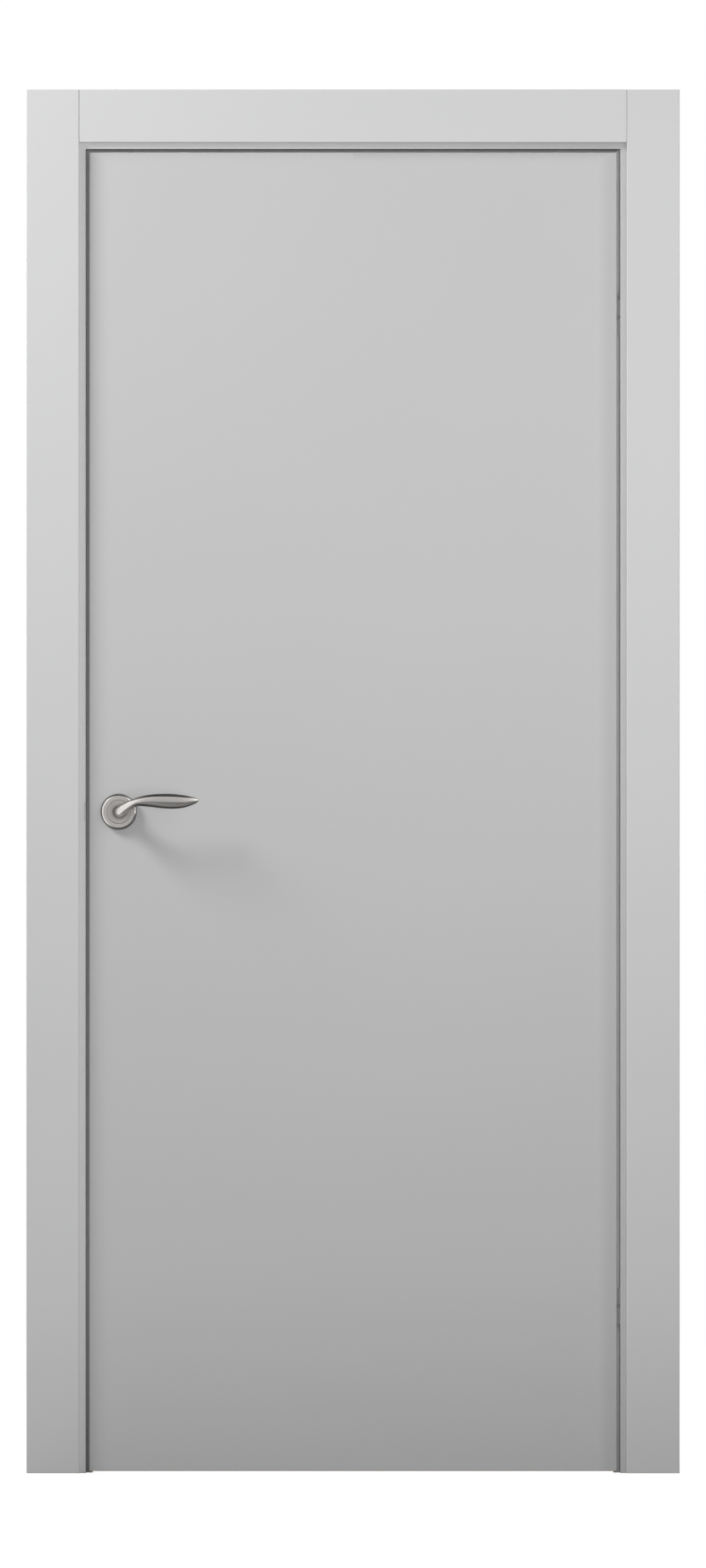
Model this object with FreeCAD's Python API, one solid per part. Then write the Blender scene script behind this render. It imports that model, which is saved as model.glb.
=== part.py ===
"""Flush hollow core door set: a lacquered leaf in a rebated wall frame with flat casings on both sides,
concealed hinges, a tubular latch and a pair of lever handles on round roses.

Millimetres. +X runs across the door towards the hinge side, +Y goes through the wall away from the
face that is seen, +Z is up. The origin is at floor level on the wall face of the hinge jamb, in the
middle of the wall's thickness.
"""

import FreeCAD
import Part
import math
import os

Vector = FreeCAD.Vector

# Leaf
LEAF_WIDTH = 800.0
LEAF_HEIGHT = 2000.0
LEAF_THICKNESS = 40.0
SKIN_THICKNESS = 3.2
STILE_WIDTH = 35.0
TOP_RAIL_HEIGHT = 40.0
BOTTOM_RAIL_HEIGHT = 70.0
EDGE_BAND_THICKNESS = 2.0
EDGE_BAND_ROUND = 1.6
LOCK_BLOCK_WIDTH = 72.0
LOCK_BLOCK_HEIGHT = 300.0
CORE_CELL_WIDTH = 88.0
CORE_PAPER_THICKNESS = 1.2
EDGE_BEVEL_DEG = 2.0

# Gaps round the closed leaf
FLOOR_GAP = 3.0
EDGE_GAP = 5.0
STOP_GAP = 5.0
FACE_SETBACK = 2.0

# Frame
WALL_THICKNESS = 100.0
JAMB_THICKNESS = 30.0
STOP_HEIGHT = 10.0
FRAME_EASE = 1.0
SEAL_GROOVE_WIDTH = 3.0
SEAL_GROOVE_DEPTH = 5.0
SEAL_EDGE_INSET = 0.4
SEAL_LEAF_CLEARANCE = 0.4
SEAL_WALL = 1.2

# Casings
REVEAL = 10.0
CASING_WIDTH = 80.0
CASING_THICKNESS = 10.0
CASING_EASE = 1.2
CASING_JOINT = 0.4
TONGUE_THICKNESS = 5.0
TONGUE_LENGTH = 4.0
TONGUE_INSET = 2.0

# Concealed hinges
HINGE_END_DISTANCE = 250.0
HINGE_CASE_HEIGHT = 110.0
HINGE_CASE_WALL = 1.6
HINGE_RUNNING_GAP = 0.5
ARM_INNER_RADIUS = 22.0
ARM_OUTER_RADIUS = 29.0
ARM_REACH_DEG = 61.5
ARM_HEIGHT = 24.0
ARM_SPACING = 6.0
ARM_PIN_RADIUS = 2.6
CAVITY_CORNER = 1.0
CASE_SCREW_RADIUS = 2.2
CASE_SCREW_HEAD_RADIUS = 4.2

# Latch and strike
HANDLE_HEIGHT = 1003.0
BACKSET = 45.0
LATCH_BARREL_RADIUS = 11.0
LATCH_BARREL_LENGTH = 62.0
FACE_PLATE_WIDTH = 25.0
FACE_PLATE_HEIGHT = 57.0
FACE_PLATE_THICKNESS = 2.0
FACE_PLATE_CORNER = 3.0
PLATE_SCREW_SPACING = 43.0
PLATE_SCREW_RADIUS = 2.2
PLATE_SCREW_HEAD_RADIUS = 4.0
BOLT_HEIGHT = 14.0
BOLT_WIDTH = 11.0
BOLT_NOSE_WIDTH = 3.0
BOLT_THROW = 9.0
STRIKE_HOLE_MARGIN = 2.5
STRIKE_BOX_DEPTH = 12.0
STRIKE_BOX_WALL = 1.2

# Handle
ROSE_RADIUS = 27.0
ROSE_HEIGHT = 9.0
ROSE_RIM_HEIGHT = 3.2
ROSE_FACE_RADIUS = 23.6
ROSE_GROOVE_RADIUS = 17.8
ROSE_GROOVE_HALF_WIDTH = 0.5
ROSE_GROOVE_DEPTH = 0.45
ROSE_DISH_DEPTH = 0.5
ROSE_WALL = 1.4
ROSE_BASE_HEIGHT = 6.0
ROSE_BASE_CLEARANCE = 0.3
NECK_RADIUS = 8.6
NECK_CLEARANCE = 0.5
NECK_ROSE_OVERLAP = 5.0
SPINDLE_SIZE = 8.0
SPINDLE_CLEARANCE = 0.4
SPINDLE_ENGAGEMENT = 22.0
SKIN_HOLE_RADIUS = 9.0

# Fits
MORTISE_CLEARANCE = 0.2

# Worked out from the driving dimensions
rebate_s = JAMB_THICKNESS
stop_s = JAMB_THICKNESS + STOP_HEIGHT
wall_front_y = -WALL_THICKNESS / 2
wall_back_y = WALL_THICKNESS / 2
leaf_front_y = wall_front_y + FACE_SETBACK
leaf_back_y = leaf_front_y + LEAF_THICKNESS
stop_y = leaf_back_y + STOP_GAP

hinge_wall_x = 0.0
leaf_hinge_x = hinge_wall_x - rebate_s - EDGE_GAP
leaf_latch_x = leaf_hinge_x - LEAF_WIDTH
latch_wall_x = leaf_latch_x - EDGE_GAP - rebate_s
leaf_bottom_z = FLOOR_GAP
leaf_top_z = FLOOR_GAP + LEAF_HEIGHT
head_wall_z = leaf_top_z + EDGE_GAP + rebate_s

casing_inner_s = rebate_s - REVEAL
casing_outer_s = casing_inner_s - CASING_WIDTH
casing_top_z = head_wall_z - casing_outer_s
tongue_inner_s = casing_inner_s - TONGUE_INSET
tongue_outer_s = tongue_inner_s - TONGUE_THICKNESS

hinge_axis_x = leaf_hinge_x + EDGE_GAP / 2
hinge_axis_y = wall_front_y
hinge_heights = {
    "lower": leaf_bottom_z + HINGE_END_DISTANCE,
    "upper": leaf_top_z - HINGE_END_DISTANCE,
}

handle_x = leaf_latch_x + BACKSET
handle_z = HANDLE_HEIGHT
leaf_mid_y = (leaf_front_y + leaf_back_y) / 2


def box(x0, x1, y0, y1, z0, z1):
    """A block between two corners."""
    return Part.makeBox(x1 - x0, y1 - y0, z1 - z0, Vector(x0, y0, z0))


def rounded_face(corners, place):
    """A flat face whose corners are (a, b, radius); place turns (a, b) into a point."""
    flat = [Vector(a, b, 0) for a, b, _ in corners]
    edges = []
    previous_end = None
    first_start = None
    for i, corner in enumerate(flat):
        radius = corners[i][2]
        back = (flat[i - 1] - corner).normalize()
        ahead = (flat[(i + 1) % len(flat)] - corner).normalize()
        if radius > 0:
            half = back.getAngle(ahead) / 2
            trim = radius / math.tan(half)
            start = corner + back * trim
            end = corner + ahead * trim
            bisector = (back + ahead).normalize()
            middle = corner + bisector * (radius / math.sin(half) - radius)
        else:
            start = corner
            end = corner
        if previous_end is None:
            first_start = start
        elif (start - previous_end).Length > 1e-6:
            edges.append(Part.makeLine(place(previous_end), place(start)))
        if radius > 0:
            edges.append(Part.Arc(place(start), place(middle), place(end)).toShape())
        previous_end = end
    if (first_start - previous_end).Length > 1e-6:
        edges.append(Part.makeLine(place(previous_end), place(first_start)))
    return Part.Face(Part.Wire(edges))


def flat_xy(z):
    return lambda p: Vector(p.x, p.y, z)


def flat_yz(x):
    return lambda p: Vector(x, p.x, p.y)


def flat_xz(y):
    return lambda p: Vector(p.x, y, p.y)


def rectangle(a0, a1, b0, b1, radius=0.0):
    """Corner list of a rectangle with equal corner rounds."""
    return [(a0, b0, radius), (a1, b0, radius), (a1, b1, radius), (a0, b1, radius)]


def along_z(x, y, z0, z1, radius):
    return Part.makeCylinder(radius, z1 - z0, Vector(x, y, z0), Vector(0, 0, 1))


def along_x(x0, x1, y, z, radius):
    return Part.makeCylinder(radius, x1 - x0, Vector(x0, y, z), Vector(1, 0, 0))


def along_y(x, y0, y1, z, radius):
    return Part.makeCylinder(radius, y1 - y0, Vector(x, y0, z), Vector(0, 1, 0))


# The three runs of a frame: each carries a profile given in s and y, where s is the distance from the
# wall face of the jamb towards the opening. Their ends meet in mitres.


def hinge_side_place(p):
    return Vector(hinge_wall_x - p.x, p.y, 0)


def latch_side_place(p):
    return Vector(latch_wall_x + p.x, p.y, 0)


def head_place(p):
    return Vector(latch_wall_x, p.y, head_wall_z - p.x)


def mitred_run(run, corners, start_z=0.0):
    """The profile run along one side of the frame and cut to its mitres."""
    depth0 = wall_front_y - CASING_THICKNESS
    depth1 = wall_back_y + CASING_THICKNESS
    reach = stop_s
    if run == "head":
        solid = rounded_face(corners, head_place).extrude(
            Vector(hinge_wall_x - latch_wall_x, 0, 0)
        )
        outline = [
            (latch_wall_x, head_wall_z, 0),
            (hinge_wall_x, head_wall_z, 0),
            (hinge_wall_x - reach, head_wall_z - reach, 0),
            (latch_wall_x + reach, head_wall_z - reach, 0),
        ]
    else:
        sign = -1 if run == "hinge_side" else 1
        wall_x = hinge_wall_x if run == "hinge_side" else latch_wall_x
        place = hinge_side_place if run == "hinge_side" else latch_side_place
        solid = rounded_face(corners, place).extrude(Vector(0, 0, head_wall_z))
        outline = [
            (wall_x, start_z, 0),
            (wall_x + sign * reach, start_z, 0),
            (wall_x + sign * reach, head_wall_z - reach, 0),
            (wall_x, head_wall_z, 0),
        ]
    keep = rounded_face(outline, flat_xz(depth0)).extrude(Vector(0, depth1 - depth0, 0))
    return solid.common(keep)


# Jambs: one board each, rebated for the leaf, grooved for the seal and for the casings' tongues.

seal_groove_s0 = rebate_s + STOP_HEIGHT / 2 - SEAL_GROOVE_WIDTH / 2
seal_groove_s1 = seal_groove_s0 + SEAL_GROOVE_WIDTH


def jamb_blank(run):
    profile = [
        (0, wall_front_y, 0),
        (rebate_s, wall_front_y, FRAME_EASE),
        (rebate_s, stop_y, 0),
        (stop_s, stop_y, FRAME_EASE),
        (stop_s, wall_back_y, FRAME_EASE),
        (0, wall_back_y, 0),
    ]
    tongue_depth = TONGUE_LENGTH + MORTISE_CLEARANCE
    grooves = [
        rectangle(
            tongue_outer_s - MORTISE_CLEARANCE,
            tongue_inner_s + MORTISE_CLEARANCE,
            wall_front_y,
            wall_front_y + tongue_depth,
        ),
        rectangle(
            tongue_outer_s - MORTISE_CLEARANCE,
            tongue_inner_s + MORTISE_CLEARANCE,
            wall_back_y - tongue_depth,
            wall_back_y,
        ),
        rectangle(seal_groove_s0, seal_groove_s1, stop_y, stop_y + SEAL_GROOVE_DEPTH),
    ]
    blank = mitred_run(run, profile)
    for groove in grooves:
        blank = blank.cut(mitred_run(run, groove))
    return blank


# Seals: a hollow bulb on a stem that is pushed into the groove in the stop.


def seal(run):
    tip_y = leaf_back_y + SEAL_LEAF_CLEARANCE
    bulb_round = (stop_y - tip_y) * 0.48
    bulb = mitred_run(
        run,
        rectangle(
            rebate_s + SEAL_EDGE_INSET,
            stop_s - SEAL_EDGE_INSET,
            tip_y,
            stop_y,
            bulb_round,
        ),
    )
    hollow = mitred_run(
        run,
        rectangle(
            rebate_s + SEAL_EDGE_INSET + SEAL_WALL,
            stop_s - SEAL_EDGE_INSET - SEAL_WALL,
            tip_y + SEAL_WALL,
            stop_y - SEAL_WALL,
            bulb_round - SEAL_WALL,
        ),
    )
    stem = mitred_run(
        run,
        rectangle(
            seal_groove_s0 + MORTISE_CLEARANCE,
            seal_groove_s1 - MORTISE_CLEARANCE,
            stop_y - SEAL_WALL / 2,
            stop_y + SEAL_GROOVE_DEPTH - MORTISE_CLEARANCE,
        ),
    )
    return bulb.fuse(stem).cut(hollow).removeSplitter()


# Casings: flat boards with a tongue in the jamb. The side boards run to the top, the head board
# stands between them.


def casing_profile(face_side):
    """Board and tongue in s and y; face_side is -1 for the front and 1 for the back."""
    seat = face_side * WALL_THICKNESS / 2
    face = seat + face_side * CASING_THICKNESS
    tip = seat - face_side * TONGUE_LENGTH
    return [
        (casing_outer_s, seat, 0),
        (casing_outer_s, face, CASING_EASE),
        (casing_inner_s, face, CASING_EASE),
        (casing_inner_s, seat, 0),
        (tongue_inner_s, seat, 0),
        (tongue_inner_s, tip, 0),
        (tongue_outer_s, tip, 0),
        (tongue_outer_s, seat, 0),
    ]


def side_casing(run, face_side):
    place = hinge_side_place if run == "hinge_side" else latch_side_place
    wall_x = hinge_wall_x if run == "hinge_side" else latch_wall_x
    sign = -1 if run == "hinge_side" else 1
    board = rounded_face(casing_profile(face_side), place).extrude(
        Vector(0, 0, casing_top_z)
    )
    tongue_top_z = head_wall_z - tongue_inner_s - 2 * MORTISE_CLEARANCE
    seat = face_side * WALL_THICKNESS / 2
    tip = seat - face_side * TONGUE_LENGTH
    tongue_x = sorted((wall_x + sign * tongue_outer_s, wall_x + sign * tongue_inner_s))
    spare_tongue = box(
        *tongue_x, min(seat, tip), max(seat, tip), tongue_top_z, casing_top_z
    )
    return board.cut(spare_tongue)


def head_casing(face_side):
    start_x = latch_wall_x + casing_inner_s + CASING_JOINT
    end_x = hinge_wall_x - casing_inner_s - CASING_JOINT

    def place(p):
        return Vector(start_x, p.y, head_wall_z - p.x)

    return rounded_face(casing_profile(face_side), place).extrude(
        Vector(end_x - start_x, 0, 0)
    )


# Concealed hinges: a case let into the jamb, a case let into the leaf's edge, and curved arms that
# slide out of both. The arms are arcs about the hinge axis, so the leaf turns about that axis.

arm_mean_radius = (ARM_INNER_RADIUS + ARM_OUTER_RADIUS) / 2
arm_half_width = (ARM_OUTER_RADIUS - ARM_INNER_RADIUS) / 2
arm_reach = math.radians(ARM_REACH_DEG)
arm_end_room = arm_half_width + HINGE_RUNNING_GAP
cavity_front_y = (
    hinge_axis_y + arm_mean_radius * math.cos(arm_reach) - arm_end_room
)
cavity_back_y = hinge_axis_y + ARM_OUTER_RADIUS + HINGE_RUNNING_GAP
cavity_height = 2 * ARM_HEIGHT + ARM_SPACING + 2 * HINGE_RUNNING_GAP
cavity_depth = arm_mean_radius * math.sin(arm_reach) + arm_end_room - EDGE_GAP / 2
case_front_y = cavity_front_y - HINGE_CASE_WALL
case_back_y = cavity_back_y + HINGE_CASE_WALL
case_depth = cavity_depth + HINGE_CASE_WALL


def across(side, edge_x, depth0, depth1):
    """Two x values, depth0 and depth1 into the jamb (side 1) or into the leaf (side -1)."""
    return sorted((edge_x + side * depth0, edge_x + side * depth1))


def hinge_pocket(side, edge_x, z, clearance):
    """The pocket for a hinge case, or with no clearance the case's own outline."""
    x0, x1 = across(side, edge_x, 0, case_depth + clearance)
    width = case_back_y - case_front_y + 2 * clearance
    height = HINGE_CASE_HEIGHT + 2 * clearance
    corners = rectangle(
        case_front_y - clearance,
        case_front_y - clearance + width,
        z - height / 2,
        z + height / 2,
        width * 0.49,
    )
    return rounded_face(corners, flat_yz(x0)).extrude(Vector(x1 - x0, 0, 0))


def hinge_case(side, edge_x, z):
    """A cast case with an open middle for the arms and two screw holes."""
    case = hinge_pocket(side, edge_x, z, 0.0)
    x0, x1 = across(side, edge_x, 0, cavity_depth)
    half = cavity_height / 2
    corners = rectangle(cavity_front_y, cavity_back_y, z - half, z + half, CAVITY_CORNER)
    case = case.cut(
        rounded_face(corners, flat_yz(x0)).extrude(Vector(x1 - x0, 0, 0))
    )
    screw_y = (case_front_y + case_back_y) / 2
    screw_offset = (HINGE_CASE_HEIGHT / 2 + half) / 2
    head_depth = CASE_SCREW_HEAD_RADIUS - CASE_SCREW_RADIUS
    for screw_z in (z - screw_offset, z + screw_offset):
        shank_x = across(side, edge_x, 0, case_depth)
        case = case.cut(along_x(*shank_x, screw_y, screw_z, CASE_SCREW_RADIUS))
        countersink = Part.makeCone(
            CASE_SCREW_HEAD_RADIUS,
            CASE_SCREW_RADIUS,
            head_depth,
            Vector(edge_x, screw_y, screw_z),
            Vector(side, 0, 0),
        )
        case = case.cut(countersink)
    return case


def arm_point(radius, angle):
    """A point round the hinge axis; angle 0 points through the wall, positive towards the leaf."""
    return Vector(
        hinge_axis_x - radius * math.sin(angle),
        hinge_axis_y + radius * math.cos(angle),
        0,
    )


def hinge_arm(z0, height):
    """One curved arm with round ends."""
    inner = [arm_point(ARM_INNER_RADIUS, a) for a in (-arm_reach, 0, arm_reach)]
    outer = [arm_point(ARM_OUTER_RADIUS, a) for a in (arm_reach, 0, -arm_reach)]
    end_angle = arm_half_width / arm_mean_radius
    leaf_tip = arm_point(arm_mean_radius, arm_reach + end_angle)
    jamb_tip = arm_point(arm_mean_radius, -arm_reach - end_angle)
    edges = [
        Part.Arc(*inner).toShape(),
        Part.Arc(inner[2], leaf_tip, outer[0]).toShape(),
        Part.Arc(*outer).toShape(),
        Part.Arc(outer[2], jamb_tip, inner[0]).toShape(),
    ]
    face = Part.Face(Part.Wire(edges))
    face.translate(Vector(0, 0, z0))
    return face.extrude(Vector(0, 0, height))


def hinge_arms(z):
    """Two arms one above the other, joined by the pin that goes through both."""
    lower = hinge_arm(z - ARM_SPACING / 2 - ARM_HEIGHT, ARM_HEIGHT)
    upper = hinge_arm(z + ARM_SPACING / 2, ARM_HEIGHT)
    pin_centre = arm_point(arm_mean_radius, 0)
    pin_half = ARM_HEIGHT + ARM_SPACING / 2
    pin = along_z(
        pin_centre.x, pin_centre.y, z - pin_half, z + pin_half, ARM_PIN_RADIUS
    )
    return lower.fuse([upper, pin]).removeSplitter()


# Leaf: two skins on a timber frame with a lock block, edge bands on three sides.

core_front_y = leaf_front_y + SKIN_THICKNESS
core_back_y = leaf_back_y - SKIN_THICKNESS
body_latch_x = leaf_latch_x + EDGE_BAND_THICKNESS
body_hinge_x = leaf_hinge_x - EDGE_BAND_THICKNESS
body_top_z = leaf_top_z - EDGE_BAND_THICKNESS
edge_bevel = math.radians(EDGE_BEVEL_DEG)
stile_latch_x = body_latch_x + STILE_WIDTH
stile_hinge_x = body_hinge_x - STILE_WIDTH
rail_bottom_z = leaf_bottom_z + BOTTOM_RAIL_HEIGHT
rail_top_z = body_top_z - TOP_RAIL_HEIGHT
lock_block_x = stile_latch_x + LOCK_BLOCK_WIDTH


def bevelled(x, y):
    """An x value at the latch edge, moved by the slope that lets the thick leaf swing past its jamb."""
    return x + (y - leaf_front_y) * math.tan(edge_bevel)


def on_bevel(shape):
    """The shape turned so that what was square to a plain edge is square to the sloping one."""
    return shape.rotated(
        Vector(leaf_latch_x, leaf_front_y, 0), Vector(0, 0, 1), -EDGE_BEVEL_DEG
    )


def latch_edged(x1, y0, y1, z0, z1):
    """A block that ends at the sloping latch edge, under its band."""
    corners = [
        (bevelled(body_latch_x, y0), y0, 0),
        (x1, y0, 0),
        (x1, y1, 0),
        (bevelled(body_latch_x, y1), y1, 0),
    ]
    return rounded_face(corners, flat_xy(z0)).extrude(Vector(0, 0, z1 - z0))


def hexagon(x, z, width):
    """A flat hexagon in the plane of the leaf, upright on a corner, width across its flats."""
    radius = width / math.sqrt(3)
    points = [
        Vector(
            x + radius * math.sin(math.radians(60 * k)),
            core_front_y,
            z + radius * math.cos(math.radians(60 * k)),
        )
        for k in range(6)
    ]
    return Part.Face(Part.makePolygon(points + points[:1]))


def leaf_core():
    """Expanded paper honeycomb between the skins, cut round the lock block."""
    x0, x1 = stile_latch_x, stile_hinge_x
    z0, z1 = rail_bottom_z, rail_top_z
    block_z0 = handle_z - LOCK_BLOCK_HEIGHT / 2
    block_z1 = handle_z + LOCK_BLOCK_HEIGHT / 2
    paper = CORE_PAPER_THICKNESS
    place = flat_xz(core_front_y)
    field = rounded_face(rectangle(x0, x1, z0, z1), place)
    block = rounded_face(rectangle(x0, lock_block_x, block_z0, block_z1), place)
    inside = rounded_face(
        rectangle(x0 + paper, x1 - paper, z0 + paper, z1 - paper), place
    )
    round_block = rounded_face(
        rectangle(x0, lock_block_x + paper, block_z0 - paper, block_z1 + paper), place
    )
    row_rise = CORE_CELL_WIDTH * math.sqrt(3) / 2
    rows = math.ceil((z1 - z0) / row_rise) + 1
    columns = math.ceil((x1 - x0) / CORE_CELL_WIDTH) + 1
    cells = []
    for row in range(rows):
        shift = CORE_CELL_WIDTH / 2 if row % 2 else 0.0
        for column in range(columns):
            x = x0 + column * CORE_CELL_WIDTH + shift
            cells.append(hexagon(x, z0 + row * row_rise, CORE_CELL_WIDTH - paper))
    openings = Part.makeCompound(cells).common(inside.cut(round_block))
    web = field.cut(block).cut(openings)
    return web.extrude(Vector(0, core_back_y - core_front_y, 0))


def leaf_skin(y0, y1):
    skin = latch_edged(body_hinge_x, y0, y1, leaf_bottom_z, body_top_z)
    return skin.cut(along_y(handle_x, y0, y1, handle_z, SKIN_HOLE_RADIUS))


def latch_pocket():
    """Room in the leaf for the latch's barrel, its face plate and the spindle."""
    clear = MORTISE_CLEARANCE
    barrel = along_x(
        leaf_latch_x,
        leaf_latch_x + LATCH_BARREL_LENGTH + clear,
        leaf_mid_y,
        handle_z,
        LATCH_BARREL_RADIUS + clear,
    )
    plate = plate_block(
        leaf_latch_x - clear, leaf_latch_x + FACE_PLATE_THICKNESS + clear, clear
    )
    spindle_hole = along_y(
        handle_x, core_front_y, core_back_y, handle_z, SKIN_HOLE_RADIUS
    )
    return on_bevel(barrel.fuse(plate)).fuse(spindle_hole)


def plate_block(x0, x1, clearance):
    """The outline of the latch's face plate and of the strike plate, between two x values."""
    half_width = FACE_PLATE_WIDTH / 2 + clearance
    half_height = FACE_PLATE_HEIGHT / 2 + clearance
    corners = rectangle(
        leaf_mid_y - half_width,
        leaf_mid_y + half_width,
        handle_z - half_height,
        handle_z + half_height,
        FACE_PLATE_CORNER + clearance,
    )
    return rounded_face(corners, flat_yz(x0)).extrude(Vector(x1 - x0, 0, 0))


def edge_band(run):
    """A band glued over the edges of the skins and the frame, with its long corners rounded."""
    y = (leaf_front_y, leaf_back_y)
    if run == "top":
        corners = [
            (y[0], body_top_z, 0),
            (y[0], leaf_top_z, EDGE_BAND_ROUND),
            (y[1], leaf_top_z, EDGE_BAND_ROUND),
            (y[1], body_top_z, 0),
        ]
        band = rounded_face(corners, flat_yz(body_latch_x)).extrude(
            Vector(body_hinge_x - body_latch_x, 0, 0)
        )
        return band.common(latch_edged(body_hinge_x, *y, body_top_z, leaf_top_z))
    if run == "hinge_side":
        corners = [
            (body_hinge_x, y[0], 0),
            (leaf_hinge_x, y[0], EDGE_BAND_ROUND),
            (leaf_hinge_x, y[1], EDGE_BAND_ROUND),
            (body_hinge_x, y[1], 0),
        ]
    else:
        corners = [
            (bevelled(body_latch_x, y[0]), y[0], 0),
            (bevelled(leaf_latch_x, y[0]), y[0], EDGE_BAND_ROUND),
            (bevelled(leaf_latch_x, y[1]), y[1], EDGE_BAND_ROUND),
            (bevelled(body_latch_x, y[1]), y[1], 0),
        ]
    return rounded_face(corners, flat_xy(leaf_bottom_z)).extrude(
        Vector(0, 0, LEAF_HEIGHT)
    )


# Latch: a tubular latch let into the leaf's edge, with its bolt drawn in.


def screw_holes(solid, outer_x, side, depth):
    """Two countersunk holes in a face plate or strike plate."""
    head_depth = PLATE_SCREW_HEAD_RADIUS - PLATE_SCREW_RADIUS
    for offset in (-PLATE_SCREW_SPACING / 2, PLATE_SCREW_SPACING / 2):
        screw_z = handle_z + offset
        shank_x = across(side, outer_x, 0, depth)
        solid = solid.cut(along_x(*shank_x, leaf_mid_y, screw_z, PLATE_SCREW_RADIUS))
        countersink = Part.makeCone(
            PLATE_SCREW_HEAD_RADIUS,
            PLATE_SCREW_RADIUS,
            head_depth,
            Vector(outer_x, leaf_mid_y, screw_z),
            Vector(side, 0, 0),
        )
        solid = solid.cut(countersink)
    return solid


def bolt_block(x0, x1, clearance):
    half_height = BOLT_HEIGHT / 2 + clearance
    half_width = BOLT_WIDTH / 2 + clearance
    return box(
        x0,
        x1,
        leaf_mid_y - half_width,
        leaf_mid_y + half_width,
        handle_z - half_height,
        handle_z + half_height,
    )


def latch_face_plate():
    inner_x = leaf_latch_x + FACE_PLATE_THICKNESS
    plate = plate_block(leaf_latch_x, inner_x, 0.0)
    plate = plate.cut(bolt_block(leaf_latch_x, inner_x, MORTISE_CLEARANCE))
    return on_bevel(screw_holes(plate, leaf_latch_x, 1, FACE_PLATE_THICKNESS))


def latch_barrel():
    start_x = leaf_latch_x + FACE_PLATE_THICKNESS
    barrel = along_x(
        start_x,
        leaf_latch_x + LATCH_BARREL_LENGTH,
        leaf_mid_y,
        handle_z,
        LATCH_BARREL_RADIUS,
    )
    bolt_room = bolt_block(start_x, start_x + bolt_length, MORTISE_CLEARANCE)
    hub_radius = SPINDLE_SIZE / math.sqrt(2) + SPINDLE_CLEARANCE
    hub = along_y(handle_x, core_front_y, core_back_y, handle_z, hub_radius)
    return on_bevel(barrel.cut(bolt_room)).cut(hub)


bolt_length = BACKSET - 2 * SPINDLE_SIZE - FACE_PLATE_THICKNESS


def latch_bolt():
    """The bolt drawn in level with its face plate; its nose slopes on the side that meets the strike."""
    x1 = leaf_latch_x + FACE_PLATE_THICKNESS + bolt_length
    front = leaf_mid_y - BOLT_WIDTH / 2
    back = leaf_mid_y + BOLT_WIDTH / 2
    corners = [
        (leaf_latch_x, front, 0),
        (leaf_latch_x, front + BOLT_NOSE_WIDTH, 0),
        (leaf_latch_x + BOLT_THROW, back, 0),
        (x1, back, 0),
        (x1, front, 0),
    ]
    bolt = rounded_face(corners, flat_xy(handle_z - BOLT_HEIGHT / 2))
    return on_bevel(bolt.extrude(Vector(0, 0, BOLT_HEIGHT)))


# Strike: a flat plate with a curled lip and a closed box behind it.

strike_x = latch_wall_x + rebate_s
strike_lip_y = wall_front_y + FRAME_EASE


def strike_plate():
    back_x = strike_x - FACE_PLATE_THICKNESS
    plate = plate_block(back_x, strike_x, 0.0)
    lip = box(
        back_x,
        strike_x,
        strike_lip_y,
        leaf_mid_y,
        handle_z - BOLT_HEIGHT,
        handle_z + BOLT_HEIGHT,
    )
    plate = plate.fuse(lip).removeSplitter()
    plate = plate.cut(bolt_block(back_x, strike_x, STRIKE_HOLE_MARGIN))
    return screw_holes(plate, strike_x, -1, FACE_PLATE_THICKNESS)


def strike_pocket():
    """The shallow bed of the strike plate and the deeper hole of its box."""
    clear = MORTISE_CLEARANCE
    back_x = strike_x - FACE_PLATE_THICKNESS - clear
    bed = plate_block(back_x, strike_x, clear)
    lip_bed = box(
        back_x,
        strike_x,
        wall_front_y,
        leaf_mid_y,
        handle_z - BOLT_HEIGHT - clear,
        handle_z + BOLT_HEIGHT + clear,
    )
    box_margin = STRIKE_HOLE_MARGIN + STRIKE_BOX_WALL + clear
    box_bed = bolt_block(
        strike_x - FACE_PLATE_THICKNESS - STRIKE_BOX_DEPTH - clear,
        strike_x,
        box_margin,
    )
    return bed.fuse([lip_bed, box_bed])


def strike_box():
    front_x = strike_x - FACE_PLATE_THICKNESS
    back_x = front_x - STRIKE_BOX_DEPTH
    outer = bolt_block(back_x, front_x, STRIKE_HOLE_MARGIN + STRIKE_BOX_WALL)
    inner = bolt_block(back_x + STRIKE_BOX_WALL, front_x, STRIKE_HOLE_MARGIN)
    return outer.cut(inner)


# Handle: a turned rose on each face of the leaf, a cast lever in each rose, one square spindle.


def face_y(face_side):
    return leaf_front_y if face_side < 0 else leaf_back_y


def turned(profile, face_side):
    """A closed profile of (radius, height) points and arcs, turned about the handle's axis."""

    def at(radius, height):
        return Vector(
            handle_x + radius, face_y(face_side) + face_side * height, handle_z
        )

    edges = []
    for piece in profile:
        points = [at(*point) for point in piece]
        if len(points) == 3:
            edges.append(Part.Arc(*points).toShape())
        else:
            edges.append(Part.makeLine(*points))
    face = Part.Face(Part.Wire(edges))
    return face.revolve(Vector(handle_x, 0, handle_z), Vector(0, 1, 0), 360)


rose_bore = NECK_RADIUS + NECK_CLEARANCE


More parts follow.
